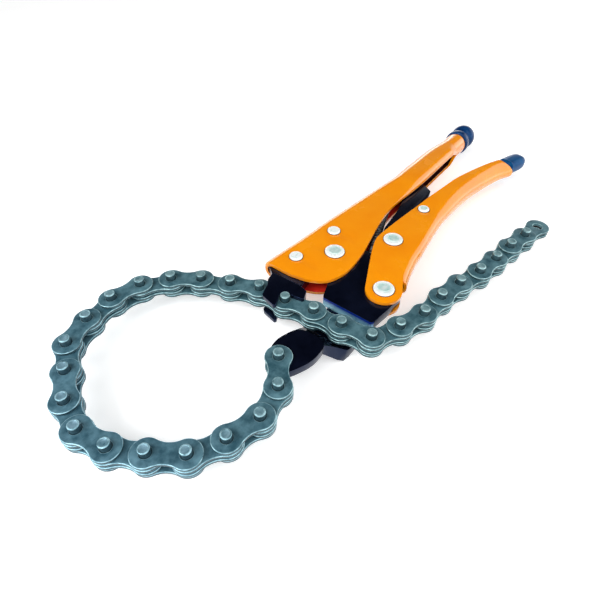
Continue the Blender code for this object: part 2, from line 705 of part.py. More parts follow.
def build_fixed_jaw(root):
    """Forged fork: a tang between the head's cheeks, a wall across, and two notched ears."""
    ear = rounded_outline(scaled_corners(EAR_CORNER_SHARES, FORK_SPAN, FORK_SPAN, FORK_SEAT))
    body = plate([ear], -EAR_TOP, EAR_TOP)
    far_x = FORK_SEAT_X - FORK_SPAN
    low_y = FORK_SEAT_Y - FORK_SPAN
    high_y = FORK_SEAT_Y + FORK_SPAN
    throat = [Vector((far_x, low_y)), Vector((FORK_THROAT_X, low_y)), Vector((FORK_THROAT_X, high_y)),
              Vector((far_x, high_y))]
    seat = circle(FORK_SEAT, SEAT_RADIUS, RIVET_SIDES)
    reach = EAR_TOP + CUT_OVERRUN
    body = combined(body, [("DIFFERENCE", plate([throat], -EAR_Z, EAR_Z)),
                           ("DIFFERENCE", plate([seat], -reach, reach)),
                           ("UNION", plate([tang_outline()], -JAW_OUTSIDE_HALF, JAW_OUTSIDE_HALF))])
    holes = [(centre, SMALL_SHANK_RADIUS + RUNNING_GAP) for centre in (FRONT_RIVET, REAR_RIVET)]
    holes.append(((0.0, 0.0), JAW_BOSS_RADIUS + TANG_BOSS_CLEARANCE))
    piece = finish(drilled(body, holes), "fixed_jaw", Vector((0.0, 0.0, 0.0)), black_steel)
    piece.parent = root
    shade(piece)


def jaw_outline():
    return rounded_outline(scaled_corners(JAW_CORNER_SHARES, JAW_WEB_X, JAW_WEB_X))


def build_movable_jaw(root):
    """Pressed channel: two cheeks joined by a web that faces the chain."""
    outline = jaw_outline()
    body = plate([outline], -JAW_OUTSIDE_HALF, JAW_OUTSIDE_HALF)
    front = -JAW_WEB_X + MERGE_DISTANCE
    level_edges = [edge for edge in body.edges if edge.verts[0].co.z == edge.verts[1].co.z]
    web_edges = [edge for edge in level_edges if max(vert.co.x for vert in edge.verts) < front]
    bmesh.ops.bevel(body, geom=web_edges, offset=JAW_WEB_BEND, segments=LOFT_BEND_STEPS,
                    affect="EDGES", profile=0.5)
    far = 2 * JAW_WEB_X
    low = JAW_SPRING_POST.y - JAW_BOSS_RADIUS
    high = JAW_SPRING_POST.y + JAW_BOSS_RADIUS * 0.6
    pocket = [Vector((JAW_POCKET_X, low)), Vector((far, low)), Vector((far, high)),
              Vector((JAW_POCKET_X, high))]
    post_half = JAW_INSIDE_HALF + JAW_CHEEK / 2
    post = plate([circle(JAW_SPRING_POST, SPRING_POST_RADIUS, PIN_SIDES)], -post_half, post_half)
    body = combined(body, [("DIFFERENCE", plate([pocket], -JAW_INSIDE_HALF, JAW_INSIDE_HALF)),
                           ("UNION", post)])
    holes = [((0.0, 0.0), MAIN_SHANK_RADIUS + RUNNING_GAP), (HANDLE_PIVOT, MAIN_SHANK_RADIUS + RUNNING_GAP)]
    piece = finish(drilled(body, holes), "movable_jaw", Vector((0.0, 0.0, 0.0)), black_steel)
    piece.parent = root
    shade(piece)


def nose_stations():
    """Side view of the cranked part: X, Z, lower Y, upper Y and half thickness, root to beak."""
    ramp_end = NECK_FRONT_X - RAMP_LENGTH
    inside = NOSE_HALF - MERGE_DISTANCE * 10
    return [
        (ROOT_END_X, ROOT_MID, ROOT_LOW_Y, ROOT_HIGH_Y, NOSE_HALF),
        (ROOT_BEND_X, ROOT_MID, ROOT_LOW_Y, ROOT_HIGH_Y, NOSE_HALF),
        (NECK_START_X, NECK_MID, NECK_LOW_Y, ROOT_HIGH_Y, NECK_HALF),
        (NECK_FRONT_X, NECK_MID, NECK_LOW_Y, NECK_HIGH_Y, NECK_HALF),
        (ramp_end, 0.0, RAMP_LOW_Y, RAMP_HIGH_Y, inside),
        (ramp_end - RAMP_OVERLAP, 0.0, RAMP_LOW_Y, RAMP_HIGH_Y, inside),
    ]


def nose_sections():
    """Rectangular sections square to the crank's centre line."""
    stations = nose_stations()
    sections = []
    for index, (x, z, low_y, high_y, half) in enumerate(stations):
        here = Vector((x, z))
        before = Vector(stations[max(index - 1, 0)][:2])
        after = Vector(stations[min(index + 1, len(stations) - 1)][:2])
        entering = (here - before).normalized() if index else (after - here).normalized()
        leaving = (after - here).normalized() if index < len(stations) - 1 else entering
        along = (entering + leaving).normalized()
        across = Vector((-along.y, along.x)) * (half / along.dot(entering))
        corners = ((1.0, low_y), (-1.0, low_y), (-1.0, high_y), (1.0, high_y))
        sections.append([Vector((x + side * across.x, y, z + side * across.y)) for side, y in corners])
    return sections


def build_nose(root):
    """Cranked nose welded under the jaw. It dives under the free chain and carries the first pin."""
    outline = rounded_outline(scaled_corners(BEAK_CORNER_SHARES, BEAK_REACH, BEAK_REACH, JAW_PIN))
    beak = plate([outline], -NOSE_HALF, NOSE_HALF)
    body = combined(loft(nose_sections()), [("UNION", beak)])
    piece = finish(drilled(body, [(JAW_PIN, BORE_RADIUS)]), "jaw_nose", Vector((0.0, 0.0, 0.0)), black_steel)
    piece.parent = root
    shade(piece)


def rivet(name, centre, shank, head, root):
    """Rivet through both cheeks with a low domed head at each end."""
    seat = HANDLE_OUTSIDE_HALF + STACK_GAP
    top = seat + RIVET_HEAD_HEIGHT
    rim = seat + RIVET_HEAD_HEIGHT * 0.45
    upper = [(shank, seat), (head, seat), (head, rim), (head * 0.8, top), (0.0, top)]
    profile = [(radius, -height) for radius, height in reversed(upper)] + upper
    piece = finish(turned(profile, centre, RIVET_SIDES), name, at(centre), bright_zinc)
    piece.parent = root
    shade(piece)


def build_rivets(root):
    rivet("main_pivot_rivet", Vector((0.0, 0.0)), MAIN_SHANK_RADIUS, MAIN_HEAD_RADIUS, root)
    rivet("fixed_jaw_rivet_front", FRONT_RIVET, SMALL_SHANK_RADIUS, SMALL_HEAD_RADIUS, root)
    rivet("fixed_jaw_rivet_rear", REAR_RIVET, SMALL_SHANK_RADIUS, SMALL_HEAD_RADIUS, root)
    rivet("handle_pivot_rivet", HANDLE_PIVOT, MAIN_SHANK_RADIUS, MAIN_HEAD_RADIUS, root)
    rivet("toggle_rivet", TOGGLE_PIVOT, TOGGLE_SHANK_RADIUS, MAIN_HEAD_RADIUS, root)
    rivet("lever_rivet", LEVER_PIVOT, LEVER_SHANK_RADIUS, LEVER_HEAD_RADIUS, root)


def build_toggle(root):
    """Toggle link: wide eye on its rivet, flat blade, rounded shoulder and a nub for the screw."""
    outline = rounded_outline(scaled_corners(TOGGLE_CORNER_SHARES, TOGGLE_LENGTH, TOGGLE_RISE, TOGGLE_PIVOT))
    eye = plate([circle(TOGGLE_PIVOT, TOGGLE_BOSS_RADIUS, RIVET_SIDES)],
                -JAW_OUTSIDE_HALF, JAW_OUTSIDE_HALF)
    body = combined(plate([outline], -TOGGLE_HALF, TOGGLE_HALF), [("UNION", eye)])
    piece = finish(drilled(body, [(TOGGLE_PIVOT, TOGGLE_SHANK_RADIUS + RUNNING_GAP)]), "toggle_link",
                   at(TOGGLE_PIVOT), black_steel)
    piece.parent = root
    shade(piece)


def lever_line():
    """Pivot, knee and tail of the lever's centre line."""
    tail = LEVER_PIVOT + Vector((LEVER_TAIL_REACH, -LEVER_TAIL_DROP))
    knee = LEVER_PIVOT + Vector((LEVER_TAIL_REACH * 0.42, -LEVER_KNEE_DROP))
    return LEVER_PIVOT, knee, tail


def build_lever(root):
    """Release lever: short nose under the toggle link, eye on its rivet, strip to the tail."""
    pivot, knee, tail = lever_line()
    bar = LEVER_BAR
    nose_x = pivot.x - LEVER_NOSE_LENGTH
    corners = [(nose_x, pivot.y - bar, bar * 0.4), (pivot.x, pivot.y - bar, bar),
               (knee.x, knee.y - bar / 2, LEVER_KNEE_BEND), (tail.x, tail.y - bar / 2, bar * 0.3),
               (tail.x, tail.y + bar / 2, bar * 0.3), (knee.x, knee.y + bar / 2, LEVER_KNEE_BEND),
               (pivot.x, pivot.y + bar * 0.6, bar), (nose_x, pivot.y + bar * 0.3, bar * 0.3)]
    strip = plate([rounded_outline(corners)], -LEVER_HALF, LEVER_HALF)
    eye = plate([circle(pivot, LEVER_BOSS_RADIUS, RIVET_SIDES)], -JAW_OUTSIDE_HALF, JAW_OUTSIDE_HALF)
    body = drilled(combined(strip, [("UNION", eye)]), [(pivot, LEVER_SHANK_RADIUS + RUNNING_GAP)])
    piece = finish(body, "release_lever", at(pivot), black_steel)
    piece.parent = root
    shade(piece)


def grip_section(centre, across, width_share, height_share):
    """Squarish section of the sleeve: a circle whose sine and cosine are drawn out to a power."""
    ring = []
    for step in range(RIVET_SIDES):
        angle = 2 * math.pi * (step + 0.5) / RIVET_SIDES
        wide = math.copysign(abs(math.cos(angle)) ** GRIP_SQUARENESS, math.cos(angle))
        high = math.copysign(abs(math.sin(angle)) ** GRIP_SQUARENESS, math.sin(angle))
        point = centre + across * (GRIP_HALF_WIDTH * width_share * wide)
        ring.append(at(point, GRIP_HALF_HEIGHT * height_share * high))
    return ring


def build_grip(root):
    """Dipped sleeve over the lever's tail, open at its front end."""
    knee, tail = lever_line()[1:]
    along = (tail - knee).normalized()
    across = Vector((-along.y, along.x))
    start = tail - along * (GRIP_LENGTH - GRIP_TAIL_COVER)
    sections = []
    for length_share, width_share, height_share in GRIP_STATION_SHARES:
        centre = start + along * (GRIP_LENGTH * length_share)
        sections.append(grip_section(centre, across, width_share, height_share))
    room = LEVER_BAR / 2 + GRIP_WALL_GAP
    front = start - along * CUT_OVERRUN
    back = tail + along * GRIP_WALL_GAP
    bore = [front - across * room, back - across * room, back + across * room, front + across * room]
    height = LEVER_HALF + GRIP_WALL_GAP
    sleeve = combined(loft(sections), [("DIFFERENCE", plate([bore], -height, height))])
    piece = finish(sleeve, "lever_grip", at(LEVER_PIVOT), blue_dip)
    piece.parent = root
    shade(piece)


def along_x(bm):
    """Lay a solid that was turned about Z along the axis of the upper handle's tube."""
    quarter = Matrix.Rotation(math.pi / 2, 3, "Y")
    bmesh.ops.rotate(bm, verts=bm.verts, cent=(0.0, 0.0, 0.0), matrix=quarter)
    bmesh.ops.translate(bm, verts=bm.verts, vec=(0.0, TUBE_AXIS_Y, 0.0))
    return bm


def build_screw(root):
    """Adjusting screw that bears on the toggle link, and its dipped knob."""
    tip = SCREW_RADIUS * 0.55
    shoulder = TUBE_END_X + KNOB_GAP
    stub = shoulder + KNOB_LENGTH * 0.6
    rod = [(0.0, SCREW_TIP_X), (tip, SCREW_TIP_X + tip * 0.2), (SCREW_RADIUS, SCREW_TIP_X + SCREW_RADIUS),
           (SCREW_RADIUS, shoulder), (SCREW_STUB_RADIUS, shoulder), (SCREW_STUB_RADIUS, stub), (0.0, stub)]
    screw = finish(along_x(turned(rod, (0.0, 0.0), RIVET_SIDES)), "adjusting_screw",
                   Vector((TUBE_END_X, TUBE_AXIS_Y, 0.0)), bright_zinc)
    face = shoulder + RUNNING_GAP
    length = KNOB_LENGTH
    bore = SCREW_STUB_RADIUS + RUNNING_GAP
    knob = [(0.0, stub + RUNNING_GAP), (bore, stub + RUNNING_GAP), (bore, face), (KNOB_RADIUS * 0.9, face),
            (KNOB_RADIUS, face + length * 0.05), (KNOB_RADIUS, face + length * 0.24),
            (KNOB_RADIUS * 0.92, face + length * 0.30), (KNOB_NECK_RADIUS, face + length * 0.36),
            (KNOB_NECK_RADIUS, face + length * 0.50), (KNOB_RADIUS * 0.90, face + length * 0.58),
            (KNOB_RADIUS, face + length * 0.68), (KNOB_RADIUS, face + length * 0.80),
            (KNOB_RADIUS * 0.90, face + length * 0.91), (KNOB_RADIUS * 0.62, face + length * 0.98),
            (0.0, face + length)]
    cap = finish(along_x(turned(knob, (0.0, 0.0), KNOB_SIDES)), "knob",
                 Vector((TUBE_END_X, TUBE_AXIS_Y, 0.0)), blue_dip)
    for piece in (screw, cap):
        piece.parent = root
        shade(piece)


def spring_path():
    """Centre line of the wire: hook round the jaw's post, coil, hook round the handle's post."""
    start = at(JAW_SPRING_POST)
    end = at(UPPER_SPRING_POST)
    along = (end - start).normalized()
    across = Vector((-along.y, along.x, 0.0))
    up = Vector((0.0, 0.0, 1.0))
    hook = SPRING_HOOK_RADIUS
    coil_start = start + along * (3.4 * hook)
    coil_end = end - along * (3.4 * hook)
    points = []
    for step in range(COIL_STEPS):
        angle = math.radians(-60.0) - math.radians(240.0) * step / COIL_STEPS
        points.append(start + (along * math.cos(angle) + across * math.sin(angle)) * hook)
    total = SPRING_TURNS * COIL_STEPS
    for step in range(total + 1):
        angle = 2 * math.pi * step / COIL_STEPS
        centre = coil_start.lerp(coil_end, step / total)
        points.append(centre + (across * math.cos(angle) + up * math.sin(angle)) * SPRING_RADIUS)
    for step in range(COIL_STEPS):
        angle = math.radians(120.0) - math.radians(240.0) * (step + 1) / COIL_STEPS
        points.append(end + (along * math.cos(angle) + across * math.sin(angle)) * hook)
    return points


def wire(points, radius):
    """Round wire along a row of points."""
    sections = []
    side = Vector((0.0, 0.0, 1.0))
    for index, point in enumerate(points):
        before = points[max(index - 1, 0)]
        after = points[min(index + 1, len(points) - 1)]
        along = (after - before).normalized()
        side = (side - along * side.dot(along)).normalized()
        other = along.cross(side)
        ring = []
        for step in range(WIRE_SIDES):
            angle = 2 * math.pi * step / WIRE_SIDES
            ring.append(point + (side * math.cos(angle) + other * math.sin(angle)) * radius)
        sections.append(ring)
    return loft(sections)


def build_spring(root):
    piece = finish(wire(spring_path(), SPRING_WIRE_RADIUS), "return_spring", at(UPPER_SPRING_POST),
                   spring_steel)
    piece.parent = root
    shade(piece)


def main():
    for item in list(bpy.data.objects):
        bpy.data.objects.remove(item)
    root = bpy.data.objects.new("tool_frame", None)
    bpy.context.scene.collection.objects.link(root)
    root.location = (-NECK_CENTRE_X, -NECK_CENTRE_Y, LIFT)
    build_upper_handle(root)
    build_fixed_jaw(root)
    build_movable_jaw(root)
    build_nose(root)
    build_lower_handle(root)
    build_toggle(root)
    build_lever(root)
    build_grip(root)
    build_screw(root)
    build_spring(root)
    build_rivets(root)
    build_chain(root)


main()
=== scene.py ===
"""Looks of the chain clamp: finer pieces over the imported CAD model, in the same frame."""

import math

import bmesh
import bpy
from mathutils import Matrix, Vector


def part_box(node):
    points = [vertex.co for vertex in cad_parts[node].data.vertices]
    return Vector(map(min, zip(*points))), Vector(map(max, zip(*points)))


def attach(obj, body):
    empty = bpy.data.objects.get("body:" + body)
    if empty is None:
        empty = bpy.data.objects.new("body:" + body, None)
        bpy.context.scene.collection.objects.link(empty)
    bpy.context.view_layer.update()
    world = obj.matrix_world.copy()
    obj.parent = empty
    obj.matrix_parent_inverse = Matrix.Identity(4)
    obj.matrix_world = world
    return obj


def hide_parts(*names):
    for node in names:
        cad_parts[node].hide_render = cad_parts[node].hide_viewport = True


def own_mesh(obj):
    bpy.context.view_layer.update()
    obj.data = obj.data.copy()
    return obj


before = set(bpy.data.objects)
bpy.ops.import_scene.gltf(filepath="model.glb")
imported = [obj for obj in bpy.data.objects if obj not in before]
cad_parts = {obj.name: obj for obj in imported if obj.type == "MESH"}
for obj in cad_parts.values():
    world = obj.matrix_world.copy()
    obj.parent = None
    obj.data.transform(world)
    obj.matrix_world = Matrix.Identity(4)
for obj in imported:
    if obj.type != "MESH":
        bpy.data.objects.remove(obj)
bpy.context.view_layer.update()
MM = 0.001

# Pieces are drawn in millimetres from the main pivot, on the mid-plane. TOOL is that point in the
# frame, in metres.
pivot_low, pivot_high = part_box("main_pivot_rivet")
TOOL = (pivot_low + pivot_high) / 2

# Chain: radii of pin, roller and plate ends, heights from the mid-plane
PITCH = 15.875
PIN = 2.54
PIN_HALF = 7.6
GAP = 0.3
PIN_ROOM = GAP * 0.7
PIN_FIT = 0.06
ROLLER = 5.08
INNER_Z = 0.6
LINK_PLATE = 1.6
OUTER_Z = INNER_Z + LINK_PLATE + GAP
OUTER_LOBE = 6.5
INNER_LOBE = 6.7
OUTER_WAIST = 4.6
INNER_WAIST = 4.9
PLATE_RIM = 0.32
PIN_LIP = PIN_HALF - 0.5
PIN_RIM = 0.62 * PIN
PIN_SIDES = 40
ROLLER_SIDES = 56
# Share of the pin's radius and depth below its end: a rounded lip round a flat, dished end
PIN_END = ((0.96, 4.0), (0.96, 0.5), (0.93, 0.22), (0.87, 0.06), (0.79, 0.0), (0.72, 0.0),
           (0.66, 0.10), (0.0, 0.14))

# Landmarks in the plan, and the bores at them
MAIN_PIVOT = Vector((0.0, 0.0))
JAW_PIN = Vector((-74.7, -19.7))
FORK_SEAT = Vector((-45.05, -0.16))
HANDLE_PIVOT = Vector((-9.3, -36.6))
TOGGLE_PIVOT = Vector((29.4, -20.7))
LEVER_PIVOT = Vector((67.3, -21.3))
FRONT_RIVET = Vector((-16.4, 14.6))
REAR_RIVET = Vector((15.3, 10.8))
SPRING_POST = (8.0, -17.3)
SPRING_ANCHOR = (64.7, 2.0)
PIVOT_BORE = 4.3
TOGGLE_BORE = 3.9
LEVER_BORE = 2.5
JAW_RIVET_BORE = 2.9
FORK_BORE = 3.1

# Heights of the layers, and lengths of the handles
HANDLE_IN = 3.2
SHEET = 1.8
HANDLE_OUT = HANDLE_IN + SHEET
JAW_OUT = 2.9
EAR_LOW = 4.4
EAR_TOP = 6.6
BODY_END = 79.5
TUBE_END = 168.7
TUBE_AXIS = 1.0
TUBE_RADIUS = 7.8
LOWER_END = 153.0

# Headings of the links in degrees: the ring's bends one after the other, then the free tail
FIRST_HEADING = -142.1
RING_BENDS = (-26.5, -26.5, -14.0, -25.5, -7.0, -19.5, -26.5, -17.5, -1.0, -34.0,
              -12.5, -20.0, -24.5, -16.0, -11.5)
TAIL_HEADINGS = (-79.5, -87.5, -82.5, -27.5, -20.5, -6.5, -12.5, -18.0, -11.5, -9.5, -12.0, -12.5)

# Stations of the handles: how far along, back, opening, how far it is a tube and how far that is
# shut. Places are shares of the lengths above, heights are shares of the sizes below or, for the
# tube, of its radius. The lower handle's last number is the share of its half width.
BODY_STATIONS = (
    (-0.370, 0.956, -0.657, 0.0), (-0.360, 0.985, -0.357, 0.0), (-0.348, 0.993, -0.014, 0.0),
    (-0.312, 0.985, 0.436, 0.0), (-0.255, 0.967, 0.764, 0.0), (-0.138, 0.926, 0.986, 0.0),
    (-0.015, 0.882, 1.000, 0.0), (0.130, 0.842, 0.907, 0.0), (0.258, 0.812, 0.750, 0.0),
    (0.494, 0.732, 0.457, 0.0), (0.699, 0.658, 0.307, 0.0), (0.860, 0.599, 0.321, 0.12),
    (1.000, 0.540, 0.400, 0.45),
)
TUBE_STATIONS = (
    (0.124, 1.551, 0.972, 0.85, 0.0), (0.259, 1.551, 1.044, 1.0, 0.0),
    (0.364, 1.500, 1.051, 1.0, 0.0), (0.488, 1.462, 1.060, 1.0, 0.0),
    (0.611, 1.397, 1.070, 1.0, 0.0), (0.719, 1.269, 1.080, 1.0, 0.0),
    (0.834, 1.064, 1.000, 1.0, 1.0), (0.880, 1.000, 1.000, 1.0, 1.0),
    (1.000, 1.000, 1.000, 1.0, 1.0),
)
LOWER_STATIONS = (
    (0.019, 0.427, 0.902, 1.0), (0.075, 0.344, 0.854, 1.0), (0.130, 0.279, 0.817, 1.0),
    (0.170, 0.248, 0.797, 1.0), (0.215, 0.252, 0.785, 1.0), (0.330, 0.287, 0.739, 1.0),
    (0.450, 0.333, 0.702, 1.0), (0.545, 0.377, 0.704, 1.18), (0.640, 0.429, 0.718, 1.30),
    (0.720, 0.469, 0.747, 1.36), (0.800, 0.533, 0.794, 1.36), (0.880, 0.610, 0.855, 1.36),
    (0.950, 0.690, 0.922, 1.36), (1.000, 0.761, 1.000, 1.36),
)
HEAD_BACK = 27.2
HEAD_BELLY = 14.0
LOWER_BACK = 49.0
HEAD_BEND = 4.4
HEAD_BEND_DEPTH = 5.0
TUBE_LIP = 5.0
TUBE_WALL = 1.4
SLOT_HALF = 4.0
SHUT_WALL = 2.6
SHUT_HALF = 0.2
HANDLE_RIM = 0.7
LOWER_BEND = 4.7
LOWER_TAIL_FROM = 0.30
LOWER_TAIL_FLAT = 0.4
LOWER_TAIL_DEPTH = 0.86
LOWER_TAIL_CREASE = 24.0
PIVOT_EAR = 9.6
PIVOT_EAR_FROM = 112.0
PIVOT_EAR_STEPS = 48
THROUGH = 20.0
BEND_STEPS = 9
FLAT_ENDS = (0.04, 0.96)

# Black parts: corners (x, y, radius) as shares of the size named before them
JAW_SIZE = 31.2
JAW_CORNERS = (
    (-0.283, 0.283, 0.275), (0.283, 0.283, 0.275), (0.292, -0.200, 0.12), (0.455, -0.380, 0.07),
    (0.400, -0.640, 0.09), (0.060, -0.860, 0.12), (0.010, -1.465, 0.27), (-0.600, -1.430, 0.05),
    (-1.000, -1.375, 0.06), (-1.000, -0.440, 0.06), (-0.290, -0.175, 0.10),
)
WEB_BEVEL = 2.8
# Faces of the jaw's front within this reach take the painted reflection.
JAW_FRONT_REACH = 2.6
POCKET = (2.5, 60.0, -26.4, -11.8)
POCKET_HALF = 1.7
POST_RADIUS = 0.7
POST_HALF = 2.3
FORK_SPAN = 20.0
FORK_THROAT = FORK_SEAT.x + INNER_LOBE + 0.85
EAR_CORNERS = (
    (0.482, 0.788, 0.025), (0.212, 0.728, 0.075), (0.042, 0.608, 0.075), (-0.322, 0.488, 0.125),
    (-0.438, -0.032, 0.05), (-0.038, 0.148, 0.005), (-0.002, -0.002, 0.005), (0.122, -0.087, 0.005),
    (0.142, -0.217, 0.05), (0.188, -0.447, 0.062), (0.482, -0.317, 0.10), (0.538, 0.033, 0.075),
)
THROAT_CUT = (-100.0, FORK_THROAT, -50.0, 50.0)
TANG_HOLLOW = 10.0
TANG_ROUND = 1.74
TANG_BEND = 1.04
TANG_FRONT = 0.43
NECK_HALF = 3.1
NECK_Z = -(PIN_HALF + 0.4) - NECK_HALF
# Side view of the nose: x, z, lowest y, highest y, half thickness
NOSE_ROWS = (
    (-21.5, -5.4, -38.0, -17.0, 2.2), (-31.0, -5.4, -38.0, -17.0, 2.2),
    (-34.4, -8.9, -38.4, -17.0, 2.6), (-37.6, NECK_Z, -38.9, -17.0, NECK_HALF),
    (-43.5, NECK_Z, -38.9, -13.6, NECK_HALF), (-46.0, NECK_Z, -38.3, -13.0, NECK_HALF),
    (-48.5, NECK_Z + 2.2, -36.7, -13.3, 3.0), (-52.0, NECK_Z + 6.0, -34.2, -14.2, 2.7),
    (-57.0, 0.0, -31.8, -15.6, 2.18), (-60.5, 0.0, -31.8, -15.6, 2.18),
)
BEAK_HALF = 2.2
BEAK_REACH = 20.9
# The beak's corners have no radius: they are cut off until the outline is a curve
BEAK_CORNERS = (
    (-0.263, 0.182), (0.335, 0.407), (1.000, 0.182), (1.000, -0.608), (0.383, -0.641),
    (-0.263, -0.354),
)
TOGGLE_HALF = 2.6
TOGGLE_EYE = 7.2
TOGGLE_LENGTH = 70.6
TOGGLE_RISE = 21.9
TOGGLE_CORNERS = (
    (-0.074, 0.260, 0.069), (0.142, 0.498, 0.11), (0.419, 0.598, 0.11), (0.864, 0.886, 0.05),
    (0.940, 0.977, 0.014), (0.996, 1.000, 0.017), (1.003, 0.817, 0.014), (0.958, 0.772, 0.007),
    (0.950, 0.553, 0.04), (0.899, 0.283, 0.04), (0.815, 0.224, 0.04), (0.628, 0.260, 0.11),
    (0.281, 0.082, 0.11), (0.114, -0.233, 0.055), (-0.074, -0.279, 0.069),
)
LEVER_TAIL = LEVER_PIVOT + Vector((LOWER_END + 14.3 - LEVER_PIVOT.x, -23.1))
LEVER_KNEE = LEVER_PIVOT + Vector((0.42 * (LEVER_TAIL.x - LEVER_PIVOT.x), -3.8))
LEVER_BAR = 3.4
LEVER_HALF = 1.5
LEVER_EYE = 4.4
LEVER_NOSE = 15.0
LEVER_BEND = 20.4
GRIP_LENGTH = 19.2
GRIP_START = 6.0
GRIP_REACH = GRIP_LENGTH + 2.8
GRIP_WIDE = 6.1
GRIP_TALL = 5.0
GRIP_SQUARE = 0.72
GRIP_BORE_HALF = 2.7
GRIP_SIDES = 48
GRIP_STATIONS = (
    (0.00, 0.45, 0.50), (0.12, 0.50, 0.55), (0.19, 0.95, 0.98), (0.27, 1.00, 1.00),
    (0.66, 1.00, 1.00), (0.84, 0.93, 0.95), (0.94, 0.76, 0.80), (1.00, 0.45, 0.50),
)

# Rivets: shares of the head's radius with heights over its seat, or depths below its top
HEAD_HEIGHT = 1.2
# A ring a little wider than the head, near black, is a painted shadow of the gap under it.
HEAD_RING = 0.32
HEAD_RING_HEIGHT = 0.04
HEAD_PROFILE = ((1.0, 0.06), (1.0, 0.15), (1.0, 0.45), (0.96, 0.75), (0.86, 1.02),
                (0.74, HEAD_HEIGHT))
HEAD_DISH = ((0.60, 0.05), (0.52, 0.32), (0.36, 0.40), (0.22, 0.24), (0.0, 0.20))
HEAD_FLAT = ((0.40, 0.0), (0.0, 0.0))
DISH_SHARE = 0.62
# Node, body, centre, radii of shank and head, dished or not
RIVETS = (
    ("main_pivot_rivet", "upper_assembly", MAIN_PIVOT, 4.0, 5.5, True),
    ("fixed_jaw_rivet_front", "upper_assembly", FRONT_RIVET, 2.6, 3.7, False),
    ("fixed_jaw_rivet_rear", "upper_assembly", REAR_RIVET, 2.6, 3.7, False),
    ("handle_pivot_rivet", "jaw_assembly", HANDLE_PIVOT, 4.0, 5.5, True),
    ("toggle_rivet", "lower_handle_assembly", TOGGLE_PIVOT, 3.6, 5.5, True),
    ("lever_rivet", "lower_handle_assembly", LEVER_PIVOT, 2.2, 3.4, True),
)

# Screw and knob: (radius, x), the thread's and the knob's x from their own starts
SCREW_TIP = ((0.0, 103.2), (2.0, 103.35), (2.7, 104.2), (4.2, 106.6))
THREAD_FROM = 107.0
THREAD_TO = 160.0
THREAD_PITCH = 1.5
CREST = 4.9
ROOT = 4.3
THREAD = ((CREST, 0.0), (CREST, 0.35), (ROOT, 0.85), (ROOT, 1.05))
STUB = 3.4
STUB_SHARE = 0.6
SHOULDER = TUBE_END + 0.6
KNOB_LENGTH = 19.0
KNOB_BORE = 3.7
KNOB_PROFILE = (
    (KNOB_BORE, 0.0), (7.6, 0.0), (8.3, 0.25), (8.7, 0.9), (8.8, 1.9), (8.8, 3.8), (8.6, 4.8),
    (8.1, 5.6), (7.2, 6.3), (6.75, 7.0), (6.6, 7.8), (6.6, 8.8), (6.9, 9.6), (7.6, 10.4),
    (8.3, 11.4), (8.7, 12.6), (8.8, 13.8), (8.7, 15.0), (8.3, 16.4), (7.4, 17.6), (6.0, 18.4),
    (4.0, 18.85), (2.0, 19.0), (0.0, KNOB_LENGTH),
)

# Return spring
HOOK = 2.1
HOOK_REACH = 3.4 * HOOK
HOOK_FROM = (-60.0, 120.0)
HOOK_SWEEP = 240.0
HOOK_STEPS = 20
COIL = 2.1
COIL_TURNS = 27
COIL_STEPS = 16
WIRE = 0.45
WIRE_SIDES = 8

# Camera, its place in millimetres before the turn
CAMERA_TILT = math.radians(46.113)
CAMERA_ROLL = math.radians(0.839)
CAMERA_TURN = Matrix(((0.59083, 0.80679, 0.0), (-0.80679, 0.59083, 0.0), (0.0, 0.0, 1.0)))
CAMERA_PLACE = Vector((-18.946, -197.570, 171.35))
CAMERA_LENS = 27.61

# Floor, lamps (name, place, size, watts) and the sky's brightness by the height of a ray
FLOOR_HALF = 0.85
FLOOR_COLOUR = (0.90, 0.90, 0.90, 1.0)
FLOOR_GLOW = 0.42
LAMP_AIM = Vector((-0.02, 0.0, 0.0))
LAMPS = (
    ("overhead", (-0.47, -0.34, 0.82), (1.4, 1.0), 9.0),
    ("key", (-0.62, 0.34, 0.60), (0.5, 0.4), 4.4),
    ("side", (0.62, -0.74, 0.46), (1.5, 0.8), 5.0),
    ("strip", (0.80, 0.58, 0.17), (1.0, 0.13), 1.1),
)
SKY = {"From Min": 0.20, "From Max": 0.46, "To Min": 1.0, "To Max": 0.04}
WHITE = (1.0, 1.0, 1.0)

# Angles of mesh work: step of an arc, and the edges that stay sharp when shaded
ARC_STEP = math.radians(9.0)
SMOOTH_ANGLE = math.radians(40.0)


# Materials

RANDOM_SHIFT = 0.7
COOL_SPAN = (-0.02, -0.10)
MOTTLE = {"Detail": 6.0, "Roughness": 0.62}
MOTTLE_ENDS = (0.34, 0.66)
GRAIN = {"Detail": 3.0}
GRAIN_SCALE = 9.0
GLOSS_SPAN = {"From Min": 0.3, "From Max": 0.7}
COAT_ROUGHNESS = 0.06


def add_node(tree, kind, values=None, **settings):
    """Shader node with its settings and, by name, the values of its inputs."""
    node = tree.nodes.new("ShaderNode" + kind)
    for name, value in settings.items():
        setattr(node, name, value)
    for name, value in (values or {}).items():
        node.inputs[name].default_value = value
    return node


def share_along(tree, place, axis, span):
    """Share from 0 to 1 between two places on one axis, in metres."""
    split = add_node(tree, "SeparateXYZ")
    tree.links.new(place.outputs["Object"], split.inputs["Vector"])
    reach = add_node(tree, "MapRange", {"From Min": span[0], "From Max": span[1]})
    tree.links.new(split.outputs[axis], reach.inputs["Value"])
    return reach.outputs["Result"]


def mixed_in(tree, colour, share, other, blend_type):
    """Colour with a share of another one mixed in."""
    mixed = add_node(tree, "Mix", data_type="RGBA", blend_type=blend_type)
    mixed.inputs["B"].default_value = (*other, 1.0)
    tree.links.new(share, mixed.inputs["Factor"])
    tree.links.new(colour, mixed.inputs["A"])
    return mixed.outputs["Result"]


